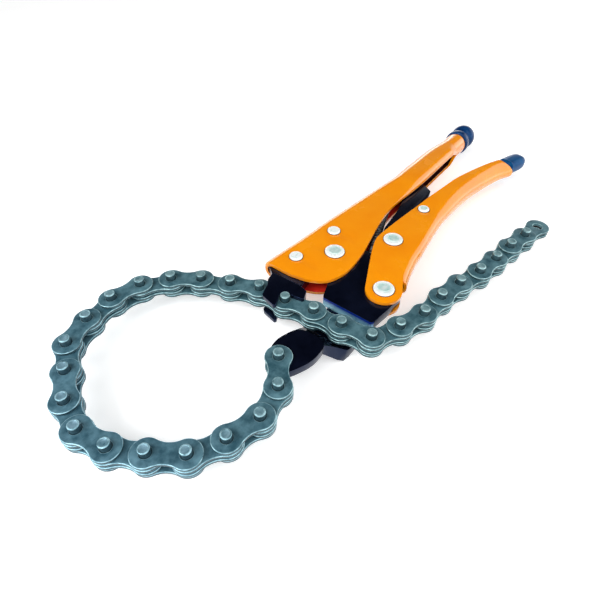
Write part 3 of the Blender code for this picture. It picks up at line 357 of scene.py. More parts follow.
def surface(name, dark, light, scale, rough, bump, metallic=0.0, coat=0.0, coat_ior=1.5, ior=1.5,
            cool=None, tint=WHITE, shade=None):
    """Mottled colour between dark and light, uneven gloss and fine bump.

    The scale of the mottling is in cycles per metre. Rough is the lowest and the highest roughness,
    bump its strength and its depth in millimetres. A cool colour is multiplied in towards the far
    end of the ring. Shade is two heights in metres and the colour that is reached at the second.
    """
    made = bpy.data.materials.new(name)
    made.use_nodes = True
    tree = made.node_tree
    link = tree.links.new
    shader = tree.nodes["Principled BSDF"]
    place = add_node(tree, "TexCoord")
    shift = add_node(tree, "Mapping")
    link(place.outputs["Object"], shift.inputs["Vector"])
    info = add_node(tree, "ObjectInfo")
    spread = add_node(tree, "Math", operation="MULTIPLY")
    spread.inputs[1].default_value = RANDOM_SHIFT
    link(info.outputs["Random"], spread.inputs[0])
    link(spread.outputs[0], shift.inputs["Location"])

    broad = add_node(tree, "TexNoise", {"Scale": scale, **MOTTLE})
    fine = add_node(tree, "TexNoise", {"Scale": scale * GRAIN_SCALE, **GRAIN})
    for item in (broad, fine):
        link(shift.outputs["Vector"], item.inputs["Vector"])

    ramp = add_node(tree, "ValToRGB")
    for element, position, colour in zip(ramp.color_ramp.elements, MOTTLE_ENDS, (dark, light)):
        element.position = position
        element.color = (*colour, 1.0)
    link(broad.outputs["Fac"], ramp.inputs["Fac"])
    colour = ramp.outputs["Color"]
    if cool:
        colour = mixed_in(tree, colour, share_along(tree, place, "X", COOL_SPAN), cool, "MULTIPLY")
    if shade:
        colour = mixed_in(tree, colour, share_along(tree, place, "Z", shade[:2]), shade[2], "MIX")
    link(colour, shader.inputs["Base Color"])

    gloss = add_node(tree, "MapRange", {**GLOSS_SPAN, "To Min": rough[0], "To Max": rough[1]})
    link(broad.outputs["Fac"], gloss.inputs["Value"])
    link(gloss.outputs["Result"], shader.inputs["Roughness"])

    relief = add_node(tree, "Bump", {"Strength": bump[0], "Distance": bump[1] * MM})
    link(fine.outputs["Fac"], relief.inputs["Height"])
    link(relief.outputs["Normal"], shader.inputs["Normal"])

    finish = {"Metallic": metallic, "Coat Weight": coat, "Coat Roughness": COAT_ROUGHNESS,
              "Coat IOR": coat_ior, "IOR": ior, "Specular Tint": (*tint, 1.0)}
    for name_of, value in finish.items():
        shader.inputs[name_of].default_value = value
    return made


ENAMEL = {"coat": 1.0, "coat_ior": 1.7, "ior": 1.25}
DIPPED = {"ior": 1.35, "tint": (0.15, 0.45, 1.0)}
# Darker blue towards the top of the jaw's front: painted shade.
JAW_FRONT_SHADE = (TOOL.z - 0.0012, TOOL.z + 0.0018, (0.004, 0.03, 0.28))

ORANGE = surface("orange_enamel", (0.97, 0.290, 0.0), (1.0, 0.335, 0.0), 55.0, (0.20, 0.30),
                 (0.06, 0.04), **ENAMEL)
# Rims of the orange parts: a redder painted shade.
ORANGE_RIM_SHADE = surface("orange_rim_painted_shade", (0.92, 0.07, 0.0), (1.0, 0.20, 0.003), 200.0,
                      (0.20, 0.32), (0.08, 0.05), **ENAMEL)
# Inner faces of the orange channels: a dark red painted shade.
ORANGE_INSIDE_SHADE = surface("orange_inside_painted_shade", (0.48, 0.010, 0.008), (0.72, 0.030, 0.014), 90.0,
                      (0.30, 0.42), (0.10, 0.05), coat=0.3)
BLACK = surface("blackened_steel", (0.0010, 0.0015, 0.0045), (0.0028, 0.0040, 0.0110), 90.0,
                (0.12, 0.20), (0.06, 0.04), tint=(0.22, 0.38, 0.95))
# Lighter blue rims of the black parts: partly wear, partly a painted highlight.
BLACK_EDGE = surface("black_rim_worn_and_highlit", (0.008, 0.016, 0.05), (0.035, 0.060, 0.150), 300.0,
                     (0.20, 0.34), (0.10, 0.05), metallic=0.5, tint=(0.5, 0.7, 1.0))
# Front edge of the movable jaw: a bright blue painted reflection.
JAW_FRONT_REFLECTION = surface("jaw_front_reflection", (0.30, 0.72, 1.0), (0.46, 0.86, 1.0), 130.0, (0.18, 0.28),
                (0.05, 0.04), metallic=0.3, shade=JAW_FRONT_SHADE)
CHAIN = surface("oiled_chain_steel", (0.030, 0.096, 0.124), (0.118, 0.250, 0.292), 190.0,
                (0.34, 0.54), (0.30, 0.10), metallic=0.25, cool=(0.96, 1.0, 1.10))
# Lighter rims of the link plates and pin ends: partly wear, partly a painted highlight.
CHAIN_EDGE = surface("chain_rim_worn_and_highlit", (0.12, 0.25, 0.28), (0.50, 0.76, 0.78), 340.0,
                     (0.26, 0.46), (0.25, 0.08), metallic=0.6, cool=(0.92, 1.0, 1.12))
CHAIN_PIN = surface("chain_pin_steel", (0.10, 0.21, 0.235), (0.24, 0.39, 0.42), 330.0,
                    (0.26, 0.44), (0.25, 0.08), metallic=0.3, cool=(0.95, 1.0, 1.16))
# Near black: the rollers' oily steel, and painted shade between plates and under rivet heads.
GAP_SHADE = surface("oily_roller_and_gap_shade", (0.004, 0.006, 0.008), (0.016, 0.020, 0.024), 200.0,
                     (0.30, 0.50), (0.25, 0.08), metallic=0.5)
# Cut sides of the link plates and the pins' shanks: a darker painted shade.
CHAIN_SHADED_SIDE = surface("shaded_chain_steel", (0.010, 0.032, 0.042), (0.040, 0.095, 0.115), 240.0,
                     (0.34, 0.52), (0.30, 0.10), metallic=0.25, cool=(0.96, 1.0, 1.10))
ZINC = surface("bright_zinc", (0.84, 0.97, 0.94), (0.97, 1.0, 1.0), 260.0, (0.20, 0.38),
               (0.15, 0.05), metallic=0.15)
# Dish of the rivet heads: a darker, greener painted shade.
ZINC_DISH_SHADE = surface("zinc_dish_shade", (0.50, 0.82, 0.76), (0.86, 1.0, 0.97), 320.0, (0.24, 0.40),
                      (0.06, 0.03), metallic=0.35)
BLUE = surface("blue_dip", (0.002, 0.022, 0.095), (0.006, 0.050, 0.165), 120.0, (0.18, 0.30),
               (0.20, 0.10), coat=0.2, **DIPPED)
SPRING = surface("spring_steel", (0.03, 0.035, 0.04), (0.14, 0.16, 0.18), 500.0, (0.24, 0.40),
                 (0.10, 0.05), metallic=0.9)
GRIP_BLUE = surface("blue_dip_sleeve", (0.001, 0.045, 0.150), (0.003, 0.085, 0.230), 120.0,
                    (0.26, 0.40), (0.20, 0.10), **DIPPED)
# Inside of the tube: a near-black painted shade.
ORANGE_SHADE = surface("tube_painted_shade", (0.010, 0.002, 0.002), (0.05, 0.004, 0.003), 90.0,
                       (0.40, 0.50), (0.10, 0.05), ior=1.2)


# Drawing helpers, in millimetres from the main pivot

def rounded_outline(corners, size=1.0, centre=(0.0, 0.0), rise=None):
    """Polygon whose corners, each (x, y, radius) as shares of a size, are rounded by arcs. Shares
    along Y are of the rise, where one is given."""
    rise = rise or size
    places = [(Vector((centre[0] + x * size, centre[1] + y * rise)), r * size)
              for x, y, r in corners]
    points = []
    total = len(places)
    for index, (here, radius) in enumerate(places):
        before = places[index - 1][0]
        after = places[(index + 1) % total][0]
        to_before = (before - here).normalized()
        to_after = (after - here).normalized()
        half = to_before.angle(to_after) / 2
        setback = radius / math.tan(half)
        setback = min(setback, min((before - here).length, (after - here).length) / 2)
        radius = setback * math.tan(half)
        middle = here + (to_before + to_after).normalized() * (radius / math.sin(half))
        start = here + to_before * setback - middle
        turn = start.angle_signed(here + to_after * setback - middle)
        steps = max(1, round(abs(turn) / ARC_STEP))
        for step in range(steps + 1):
            points.append(middle + Matrix.Rotation(-turn * step / steps, 2) @ start)
    return points


def circle(centre, radius, sides=48):
    points = []
    for step in range(sides):
        angle = 2 * math.pi * step / sides
        points.append(Vector((centre[0] + radius * math.cos(angle),
                              centre[1] + radius * math.sin(angle))))
    return points


def rectangle(low_x, high_x, low_y, high_y):
    return [Vector((low_x, low_y)), Vector((high_x, low_y)),
            Vector((high_x, high_y)), Vector((low_x, high_y))]


def plate(outline, low, high):
    """Flat plate between two heights."""
    bm = bmesh.new()
    ring = [bm.verts.new((p[0], p[1], low)) for p in outline]
    face = bm.faces.new(ring)
    raised = bmesh.ops.extrude_face_region(bm, geom=[face])
    moved = [item for item in raised["geom"] if isinstance(item, bmesh.types.BMVert)]
    bmesh.ops.translate(bm, verts=moved, vec=(0.0, 0.0, high - low))
    bmesh.ops.recalc_face_normals(bm, faces=bm.faces)
    return bm


def join_rings(bm, lower, upper):
    """Faces between two rings of points, either of which may be a single point."""
    count = max(len(lower), len(upper))
    for index in range(count):
        after = (index + 1) % count
        if len(lower) == 1:
            bm.faces.new((lower[0], upper[after], upper[index]))
        elif len(upper) == 1:
            bm.faces.new((lower[index], lower[after], upper[0]))
        else:
            bm.faces.new((lower[index], lower[after], upper[after], upper[index]))


def turned(profile, centre=(0.0, 0.0), sides=64):
    """Solid of revolution about a vertical axis from (radius, height) points."""
    bm = bmesh.new()
    rings = []
    for radius, height in profile:
        if radius == 0.0:
            rings.append([bm.verts.new((centre[0], centre[1], height))])
        else:
            rings.append([bm.verts.new((p[0], p[1], height))
                          for p in circle(centre, radius, sides)])
    for lower, upper in zip(rings, rings[1:]):
        join_rings(bm, lower, upper)
    bmesh.ops.recalc_face_normals(bm, faces=bm.faces)
    return bm


def loft(sections, inner_from=None):
    """Closed solid through a row of sections with equal numbers of points. Faces from a given
    point of the sections on take the third material."""
    bm = bmesh.new()
    rings = [[bm.verts.new(point) for point in section] for section in sections]
    for lower, upper in zip(rings, rings[1:]):
        before = len(bm.faces)
        join_rings(bm, lower, upper)
        if inner_from:
            bm.faces.ensure_lookup_table()
            for index in range(before + inner_from, len(bm.faces) - 1):
                bm.faces[index].material_index = 2
    bm.faces.new(rings[0])
    bm.faces.new(rings[-1])
    bmesh.ops.recalc_face_normals(bm, faces=bm.faces)
    return bm


def to_object(name, bm, scale=MM, offset=None):
    """Object from a bmesh drawn in millimetres, moved by an offset in metres."""
    bmesh.ops.scale(bm, verts=bm.verts, vec=(scale, scale, scale))
    if offset is not None:
        bmesh.ops.translate(bm, verts=bm.verts, vec=offset)
    mesh = bpy.data.meshes.new(name)
    bm.to_mesh(mesh)
    bm.free()
    made = bpy.data.objects.new(name, mesh)
    bpy.context.scene.collection.objects.link(made)
    return made


def shaped(name, bm, steps=(), bevel=0.35, segments=3, materials=(), offset=TOOL, sharp=32.0):
    """Boolean steps, then a rounded edge where faces meet at more than the sharp angle. Its faces
    take the second material. All of it is applied."""
    base = to_object(name, bm, offset=offset)
    helpers = []
    for operation, other in steps:
        helper = to_object("helper", other, offset=offset)
        helpers.append(helper)
        step = base.modifiers.new(operation, "BOOLEAN")
        step.operation = operation
        step.solver = "EXACT"
        step.object = helper
    for item in materials:
        base.data.materials.append(item)
    if bevel:
        edge = base.modifiers.new("rim", "BEVEL")
        edge.width = bevel * MM
        edge.segments = segments
        edge.limit_method = "ANGLE"
        edge.angle_limit = math.radians(sharp)
        edge.material = 1
        edge.use_clamp_overlap = True
        edge.miter_outer = "MITER_ARC"
    bpy.context.view_layer.update()
    graph = bpy.context.evaluated_depsgraph_get()
    mesh = bpy.data.meshes.new_from_object(base.evaluated_get(graph))
    base.modifiers.clear()
    base.data = mesh
    mesh.name = name
    for item in helpers:
        bpy.data.objects.remove(item)
    mesh.shade_smooth()
    mesh.set_sharp_from_angle(angle=SMOOTH_ANGLE)
    return base


def wear(piece, body, *nodes, slot):
    """Put a finished piece on its body in place of its CAD nodes."""
    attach(piece, body)
    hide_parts(*nodes)


# Chain

def link_outline(lobe, waist, lobe_steps=24, hollow_steps=12):
    """Figure-eight rim: two round lobes joined by smooth hollows at the waist."""
    half = PITCH / 2
    hollow = (half * half + waist * waist - lobe * lobe) / (2 * (lobe - waist))
    meet = math.atan2(waist + hollow, half)
    points = []
    for centre_x, first in ((PITCH, meet - math.pi), (0.0, meet)):
        sweep = 2 * (math.pi - meet)
        for step in range(lobe_steps + 1):
            angle = first + sweep * step / lobe_steps
            points.append(Vector((centre_x + lobe * math.cos(angle), lobe * math.sin(angle))))
        side = 1.0 if centre_x else -1.0
        span = math.pi / 2 - meet
        for step in range(1, hollow_steps):
            angle = span * (1 - 2 * step / hollow_steps)
            points.append(Vector((half + side * hollow * math.sin(angle),
                                  side * (waist + hollow - hollow * math.cos(angle)))))
    return points


def pin(x):
    """Long pin, with materials for the rims (1) and flats (2) of its ends and for its shank (3)."""
    end = [(PIN * share, PIN_HALF - depth) for share, depth in PIN_END]
    bm = turned([(r, -z) for r, z in reversed(end)] + end, (x, 0.0), PIN_SIDES)
    for face in bm.faces:
        spot = face.calc_center_median()
        # The shank takes the darker painted shade.
        if abs(spot.z) <= PIN_LIP:
            face.material_index = 3
        # The rims of the ends take the partly worn, partly painted highlight rim colour.
        elif (spot.xy - Vector((x, 0.0))).length > PIN_RIM:
            face.material_index = 1
        else:
            face.material_index = 2
    return bm


def joined(name, pieces):
    """One mesh from several objects, each piece keeping its own materials."""
    bm = bmesh.new()
    materials = []
    for piece in pieces:
        part = bmesh.new()
        part.from_mesh(piece.data)
        moves = []
        for item in piece.data.materials:
            if item not in materials:
                materials.append(item)
            moves.append(materials.index(item))
        for face in part.faces:
            face.material_index = moves[min(face.material_index, len(moves) - 1)]
        holder = bpy.data.meshes.new("part")
        part.to_mesh(holder)
        part.free()
        bm.from_mesh(holder)
        bpy.data.meshes.remove(holder)
        bpy.data.objects.remove(piece)
    mesh = bpy.data.meshes.new(name)
    bm.to_mesh(mesh)
    bm.free()
    for item in materials:
        mesh.materials.append(item)
    mesh.shade_smooth()
    mesh.set_sharp_from_angle(angle=SMOOTH_ANGLE)
    return mesh


def link_plate(lobe, waist, low, bore):
    """Plate with a hole at each pin, its cut sides in the third material."""
    high = low + LINK_PLATE
    steps = [("DIFFERENCE", plate(circle((x, 0.0), bore), low - 1.0, high + 1.0))
             for x in (0.0, PITCH)]
    body = plate(link_outline(lobe, waist), low, high)
    # The cut sides take the darker painted shade.
    for face in body.faces:
        if abs(face.normal.z) < 0.5:
            face.material_index = 2
    return shaped("plate", body, steps, PLATE_RIM, materials=(CHAIN, CHAIN_EDGE, CHAIN_SHADED_SIDE),
                  offset=None)


def outer_mesh():
    """Two plates on two long pins."""
    parts = [link_plate(OUTER_LOBE, OUTER_WAIST, low, PIN + PIN_FIT)
             for low in (OUTER_Z, -OUTER_Z - LINK_PLATE)]
    parts += [shaped("pin", pin(x), bevel=0.0, offset=None,
                     materials=(CHAIN, CHAIN_EDGE, CHAIN_PIN, CHAIN_SHADED_SIDE)) for x in (0.0, PITCH)]
    return joined("outer_link", parts)


def inner_mesh():
    """Two plates with a roller at each pin."""
    parts = [link_plate(INNER_LOBE, INNER_WAIST, low, PIN + PIN_ROOM)
             for low in (INNER_Z, -INNER_Z - LINK_PLATE)]
    for x in (0.0, PITCH):
        # Rollers are near black: painted shade between the plates.
        roller = plate(circle((x, 0.0), ROLLER, ROLLER_SIDES), -INNER_Z, INNER_Z)
        bore = plate(circle((x, 0.0), PIN + PIN_ROOM), -3.0, 3.0)
        parts.append(shaped("roller", roller, [("DIFFERENCE", bore)], bevel=0.0,
                            materials=(GAP_SHADE,), offset=None))
    return joined("inner_link", parts)


def heading(angle):
    return Vector((math.cos(angle), math.sin(angle)))


def chain_places():
    """Start point and heading of each link, the ring closed on the fork's seat."""
    places = []
    point = JAW_PIN.copy()
    angle = math.radians(FIRST_HEADING)
    for bend in RING_BENDS + (0.0,):
        places.append((point, angle))
        point = point + heading(angle) * PITCH
        angle += math.radians(bend)
    gap = FORK_SEAT - point
    base = math.atan2(gap.y, gap.x)
    spread = math.acos(gap.length / (2 * PITCH))
    places.append((point, base + spread))
    places.append((point + heading(base + spread) * PITCH, base - spread))
    point = FORK_SEAT.copy()
    for degrees in TAIL_HEADINGS:
        places.append((point, math.radians(degrees)))
        point = point + heading(math.radians(degrees)) * PITCH
    return places


def make_chain():
    """Each link is its own copy of one of two meshes, laid in place."""
    meshes = (outer_mesh(), inner_mesh())
    for index, (point, angle) in enumerate(chain_places()):
        kind = "inner_link" if index % 2 else "outer_link"
        node = f"{kind}_{index // 2 + 1:02d}"
        mesh = meshes[index % 2].copy()
        shift = Matrix.Translation(TOOL + Vector((point.x * MM, point.y * MM, 0.0)))
        mesh.transform(shift @ Matrix.Rotation(angle, 4, "Z"))
        made = bpy.data.objects.new("fine_" + node, mesh)
        bpy.context.scene.collection.objects.link(made)
        wear(made, node + "_body", node, slot="chain_steel")


# Handles

def blend(start, end, amount):
    return start + (end - start) * amount


def eased(stations, parts):
    """More stations, on a smooth curve through the given ones."""
    made = []
    last = len(stations) - 1
    for index in range(last):
        p0 = stations[max(index - 1, 0)]
        p1 = stations[index]
        p2 = stations[index + 1]
        p3 = stations[min(index + 2, last)]
        for step in range(parts):
            t = step / parts
            row = [p1[0] + (p2[0] - p1[0]) * t]
            for a, b, c, d in list(zip(p0, p1, p2, p3))[1:]:
                width = p2[0] - p1[0]
                start = (c - a) / (p2[0] - p0[0]) * width
                end = (d - b) / (p3[0] - p1[0]) * width
                value = ((2 * t ** 3 - 3 * t ** 2 + 1) * b + (t ** 3 - 2 * t ** 2 + t) * start
                         + (-2 * t ** 3 + 3 * t ** 2) * c + (t ** 3 - t ** 2) * end)
                row.append(value)
            made.append(tuple(row))
    made.append(stations[-1])
    return made


def channel(x, open_y, back_y, half, gap, back_bend, lip_bend, wall, deep=None, crease=0.0):
    """Section of a folded sheet channel: open edge, cheeks, back and the bends between. The bend
    at the back may be deeper than it is high, and start with a crease of some degrees."""
    side = 1.0 if back_y > open_y else -1.0
    deep = deep or back_bend
    first = math.radians(crease)

    def half_path(depth):
        inset = min(depth, lip_bend)
        centre_z = half - depth - lip_bend + inset
        radius = lip_bend - inset
        sweep = math.pi / 2
        if radius > 0.0 and centre_z < gap:
            sweep = math.acos(min(1.0, (gap - centre_z) / radius))
        lip = []
        for step in range(BEND_STEPS, -1, -1):
            angle = sweep * step / BEND_STEPS
            lip.append((open_y + side * lip_bend - side * radius * math.sin(angle),
                        centre_z + radius * math.cos(angle)))
        bend = max(back_bend - depth, 0.0)
        reach = max(deep - depth, 0.0)
        high = back_y - side * depth
        flat = half - depth
        start = high - side * reach
        points = [(lip[0][0], min(gap, lip[0][1]))] + lip
        points += [(blend(lip[-1][0], start, share), flat) for share in FLAT_ENDS]
        for step in range(BEND_STEPS + 1):
            angle = blend(first, math.pi / 2, step / BEND_STEPS)
            rise = (math.cos(first) - math.cos(angle)) / math.cos(first)
            run = (1 - math.sin(angle)) / (1 - math.sin(first))
            points.append((high - side * reach * run, flat - bend * rise))
        return points

    outer = half_path(0.0)
    inner = half_path(wall)
    loop = outer + [(y, -z) for y, z in reversed(outer)]
    loop += [(y, -z) for y, z in inner] + list(reversed(inner))
    return [Vector((x, y, z)) for y, z in loop]


def upper_stations():
    """Rows of x, back, opening, tube and closing along the whole upper handle."""
    rows = [(x * BODY_END, back * HEAD_BACK, -opening * HEAD_BELLY, tube, 0.0)
            for x, back, opening, tube in BODY_STATIONS]
    rows += [(blend(BODY_END, TUBE_END, x), TUBE_AXIS + back * TUBE_RADIUS,
              TUBE_AXIS - opening * TUBE_RADIUS, tube, closing)
             for x, back, opening, tube, closing in TUBE_STATIONS]
    return rows


def inside_back(x):
    """Inner face of the upper handle's back at X, less a working gap."""
    rows = upper_stations()
    for before, after in zip(rows, rows[1:]):
        if x <= after[0]:
            break
    amount = max((x - before[0]) / (after[0] - before[0]), 0.0)
    return blend(before[1], after[1], amount) - SHEET - 1.0


def upper_loft():
    """Head that turns into a slotted tube, the tube's inside in the fourth material."""
    sections = []
    for x, back_y, open_y, tube, closing in eased(upper_stations(), 5):
        tube = min(max(tube, 0.0), 1.0)
        closing = min(max(closing, 0.0), 1.0)
        half = blend(HANDLE_OUT, TUBE_RADIUS, tube)
        wall = blend(blend(SHEET, TUBE_WALL, tube), SHUT_WALL, closing)
        gap = blend(blend(HANDLE_IN, SLOT_HALF, tube), SHUT_HALF, closing)
        bend = blend(HEAD_BEND, TUBE_RADIUS, tube)
        lip = blend(TUBE_LIP * tube, TUBE_RADIUS, closing)
        deep = blend(HEAD_BEND_DEPTH, TUBE_RADIUS, tube)
        sections.append(channel(x, open_y, back_y, half, gap, bend, lip, wall, deep=deep))
    bm = loft(sections, len(sections[0]) // 2)
    # Inner faces inside the tube take the near-black painted shade.
    for face in bm.faces:
        if face.material_index == 2 and face.calc_center_median().x > BODY_END:
            face.material_index = 3
    return bm


def hole(centre, radius):
    return ("DIFFERENCE", plate(circle(centre, radius), -THROUGH, THROUGH))


def make_upper():
    steps = [hole(MAIN_PIVOT, PIVOT_BORE), hole(FRONT_RIVET, JAW_RIVET_BORE),
             hole(REAR_RIVET, JAW_RIVET_BORE)]
    # The rims take the redder painted shade and the inner faces the dark red painted shade.
    made = shaped("fine_upper_handle", upper_loft(), steps, HANDLE_RIM, segments=4,
                  materials=(ORANGE, ORANGE_RIM_SHADE, ORANGE_INSIDE_SHADE, ORANGE_SHADE), sharp=50.0)
    wear(made, "upper_assembly", "upper_handle", slot="orange_paint")


def make_lower():
    """Channel that gets rounder and creased towards its tail, with a round ear at its pivot."""
    sections = []
    for x_share, opening, back, half_share in eased(LOWER_STATIONS, 5):
        half = max(half_share, 1.0) * HANDLE_OUT
        tail = min(max((x_share - LOWER_TAIL_FROM) / (1.0 - LOWER_TAIL_FROM), 0.0), 1.0)
        depth = (back - opening) * LOWER_BACK * LOWER_TAIL_DEPTH
        sections.append(channel(x_share * LOWER_END, -opening * LOWER_BACK, -back * LOWER_BACK,
                                half, half - SHEET, blend(LOWER_BEND, half - LOWER_TAIL_FLAT, tail),
                                0.0, SHEET, deep=blend(LOWER_BEND, depth, tail ** 1.5),
                                crease=LOWER_TAIL_CREASE * tail ** 0.5))
    x_share, opening, back = LOWER_STATIONS[1][:3]
    x = x_share * LOWER_END
    outline = [Vector((x, -back * LOWER_BACK + LOWER_BEND)), Vector((x, -opening * LOWER_BACK))]
    for step in range(PIVOT_EAR_STEPS + 1):
        angle = math.radians(PIVOT_EAR_FROM + 180.0 * step / PIVOT_EAR_STEPS)
        outline.append(HANDLE_PIVOT + Vector((PIVOT_EAR * math.cos(angle),
                                              PIVOT_EAR * math.sin(angle))))
    steps = [("UNION", plate(outline, HANDLE_IN, HANDLE_OUT)),
             ("UNION", plate(outline, -HANDLE_OUT, -HANDLE_IN)),
             hole(HANDLE_PIVOT, PIVOT_BORE), hole(TOGGLE_PIVOT, TOGGLE_BORE),
             hole(LEVER_PIVOT, LEVER_BORE)]
    # The rims take the redder painted shade and the inner faces the dark red painted shade.
    made = shaped("fine_lower_handle", loft(sections, len(sections[0]) // 2), steps, HANDLE_RIM,
                  segments=4, materials=(ORANGE, ORANGE_RIM_SHADE, ORANGE_INSIDE_SHADE), sharp=50.0)
    wear(made, "lower_handle_assembly", "lower_handle", slot="orange_paint")


# Black parts

def tang_outline():
    """Fixed jaw's tang, from behind the fork's throat along the handle's inner back."""
    front_x = FORK_THROAT + 1.6
    top_x = FRONT_RIVET.x - 13.05
    rear_x = REAR_RIVET.x + 8.7
    corners = ((front_x, inside_back(front_x) - 8.7, TANG_FRONT),
               (top_x, inside_back(top_x), TANG_BEND),
               (rear_x, inside_back(rear_x), TANG_ROUND),
               (rear_x, REAR_RIVET.y - 4.61, TANG_ROUND),
               (REAR_RIVET.x - 2.78, REAR_RIVET.y - 6.79, TANG_ROUND),
               (FRONT_RIVET.x + 6.09, FRONT_RIVET.y - 11.57, TANG_BEND),
               (front_x, FORK_SEAT.y - 0.87, TANG_FRONT))
    return rounded_outline(corners)


def make_fixed_jaw():
    steps = [("DIFFERENCE", plate(rectangle(*THROAT_CUT), -EAR_LOW, EAR_LOW)),
             hole(FORK_SEAT, FORK_BORE), ("UNION", plate(tang_outline(), -JAW_OUT, JAW_OUT)),
             hole(FRONT_RIVET, JAW_RIVET_BORE), hole(REAR_RIVET, JAW_RIVET_BORE),
             hole(MAIN_PIVOT, TANG_HOLLOW)]
    ears = plate(rounded_outline(EAR_CORNERS, FORK_SPAN, FORK_SEAT), -EAR_TOP, EAR_TOP)
    made = shaped("fine_fixed_jaw", ears, steps, bevel=0.4, materials=(BLACK, BLACK_EDGE))
    wear(made, "upper_assembly", "fixed_jaw", slot="black_steel")


def make_movable_jaw():
    """Plate with a rounded front edge in a painted reflection, a pocket for the spring and its
    post.
    """
    body = plate(rounded_outline(JAW_CORNERS, JAW_SIZE), -JAW_OUT, JAW_OUT)
    web = [e for e in body.edges if all(v.co.x < -JAW_SIZE + 0.01 for v in e.verts)
           and abs(e.verts[0].co.z - e.verts[1].co.z) < 1e-6]
    bmesh.ops.bevel(body, geom=web, offset=WEB_BEVEL, segments=9, affect="EDGES", profile=0.5)
    steps = [("DIFFERENCE", plate(rectangle(*POCKET), -POCKET_HALF, POCKET_HALF)),
             ("UNION", plate(circle(SPRING_POST, POST_RADIUS), -POST_HALF, POST_HALF)),
             hole(MAIN_PIVOT, PIVOT_BORE), hole(HANDLE_PIVOT, PIVOT_BORE)]
    # The front edge's faces take the bright blue painted reflection, darker towards the top.
    for face in body.faces:
        if face.calc_center_median().x < JAW_FRONT_REACH - JAW_SIZE:
            face.material_index = 2
    made = shaped("fine_movable_jaw", body, steps, bevel=0.3,
                  materials=(BLACK, BLACK_EDGE, JAW_FRONT_REFLECTION), sharp=40.0)
    wear(made, "jaw_assembly", "movable_jaw", slot="black_steel")


def nose_sections():
    """Sections of the crank, from its root under the jaw to the ramp that carries the beak."""
    sections = []
    last = len(NOSE_ROWS) - 1
    for index, (x, z, low_y, high_y, half) in enumerate(NOSE_ROWS):
        here = Vector((x, z))
        before = Vector(NOSE_ROWS[max(index - 1, 0)][:2])
        after = Vector(NOSE_ROWS[min(index + 1, last)][:2])
        entering = (here - before).normalized() if index else (after - here).normalized()
        leaving = (after - here).normalized() if index < last else entering
        along = (entering + leaving).normalized()
        across = Vector((-along.y, along.x)) * (half / along.dot(entering))
        over = (x + across.x, z + across.y)
        under = (x - across.x, z - across.y)
        corners = ((over, low_y), (under, low_y), (under, high_y), (over, high_y))
        sections.append([Vector((spot[0], y, spot[1])) for spot, y in corners])
    return sections


def softened(points, rounds, cut=0.2):
    """Corners cut off a polygon again and again until it is a smooth curve."""
    for _ in range(rounds):
        cuts = []
        for index, here in enumerate(points):
            after = points[(index + 1) % len(points)]
            cuts += [here.lerp(after, cut), here.lerp(after, 1.0 - cut)]
        points = cuts
    return points


def make_nose():
    corners = [JAW_PIN + Vector((x, y)) * BEAK_REACH for x, y in BEAK_CORNERS]
    beak = plate(softened(corners, 4), -BEAK_HALF, BEAK_HALF)
    steps = [("UNION", beak), hole(JAW_PIN, PIN + GAP)]
    made = shaped("fine_jaw_nose", loft(nose_sections()), steps, bevel=0.7, segments=5,
                  materials=(BLACK, BLACK_EDGE), sharp=28.0)
    wear(made, "jaw_assembly", "jaw_nose", slot="black_steel")


def make_toggle():
    outline = rounded_outline(TOGGLE_CORNERS, TOGGLE_LENGTH, TOGGLE_PIVOT, TOGGLE_RISE)
    steps = [("UNION", plate(circle(TOGGLE_PIVOT, TOGGLE_EYE), -JAW_OUT, JAW_OUT)),
             hole(TOGGLE_PIVOT, TOGGLE_BORE)]
    made = shaped("fine_toggle_link", plate(outline, -TOGGLE_HALF, TOGGLE_HALF), steps,
                  materials=(BLACK, BLACK_EDGE))
    wear(made, "toggle", "toggle_link", slot="black_steel")


def make_lever():
    """Strip with a nose in front of its rivet and a wide bend on the way to the grip."""
    bar = LEVER_BAR
    pivot = LEVER_PIVOT
    knee = LEVER_KNEE
    tail = LEVER_TAIL
    nose_x = pivot.x - LEVER_NOSE
    corners = [(nose_x, pivot.y - bar, bar * 0.4), (pivot.x, pivot.y - bar, bar),
               (knee.x, knee.y - bar / 2, LEVER_BEND), (tail.x, tail.y - bar / 2, bar * 0.3),
               (tail.x, tail.y + bar / 2, bar * 0.3), (knee.x, knee.y + bar / 2, LEVER_BEND),
               (pivot.x, pivot.y + bar * 0.6, bar), (nose_x, pivot.y + bar * 0.3, bar * 0.3)]
    steps = [("UNION", plate(circle(pivot, LEVER_EYE), -JAW_OUT, JAW_OUT)), hole(pivot, LEVER_BORE)]
    made = shaped("fine_release_lever", plate(rounded_outline(corners), -LEVER_HALF, LEVER_HALF),
                  steps, bevel=0.3, segments=2, materials=(BLACK, BLACK_EDGE))
    wear(made, "lever", "release_lever", slot="black_steel")


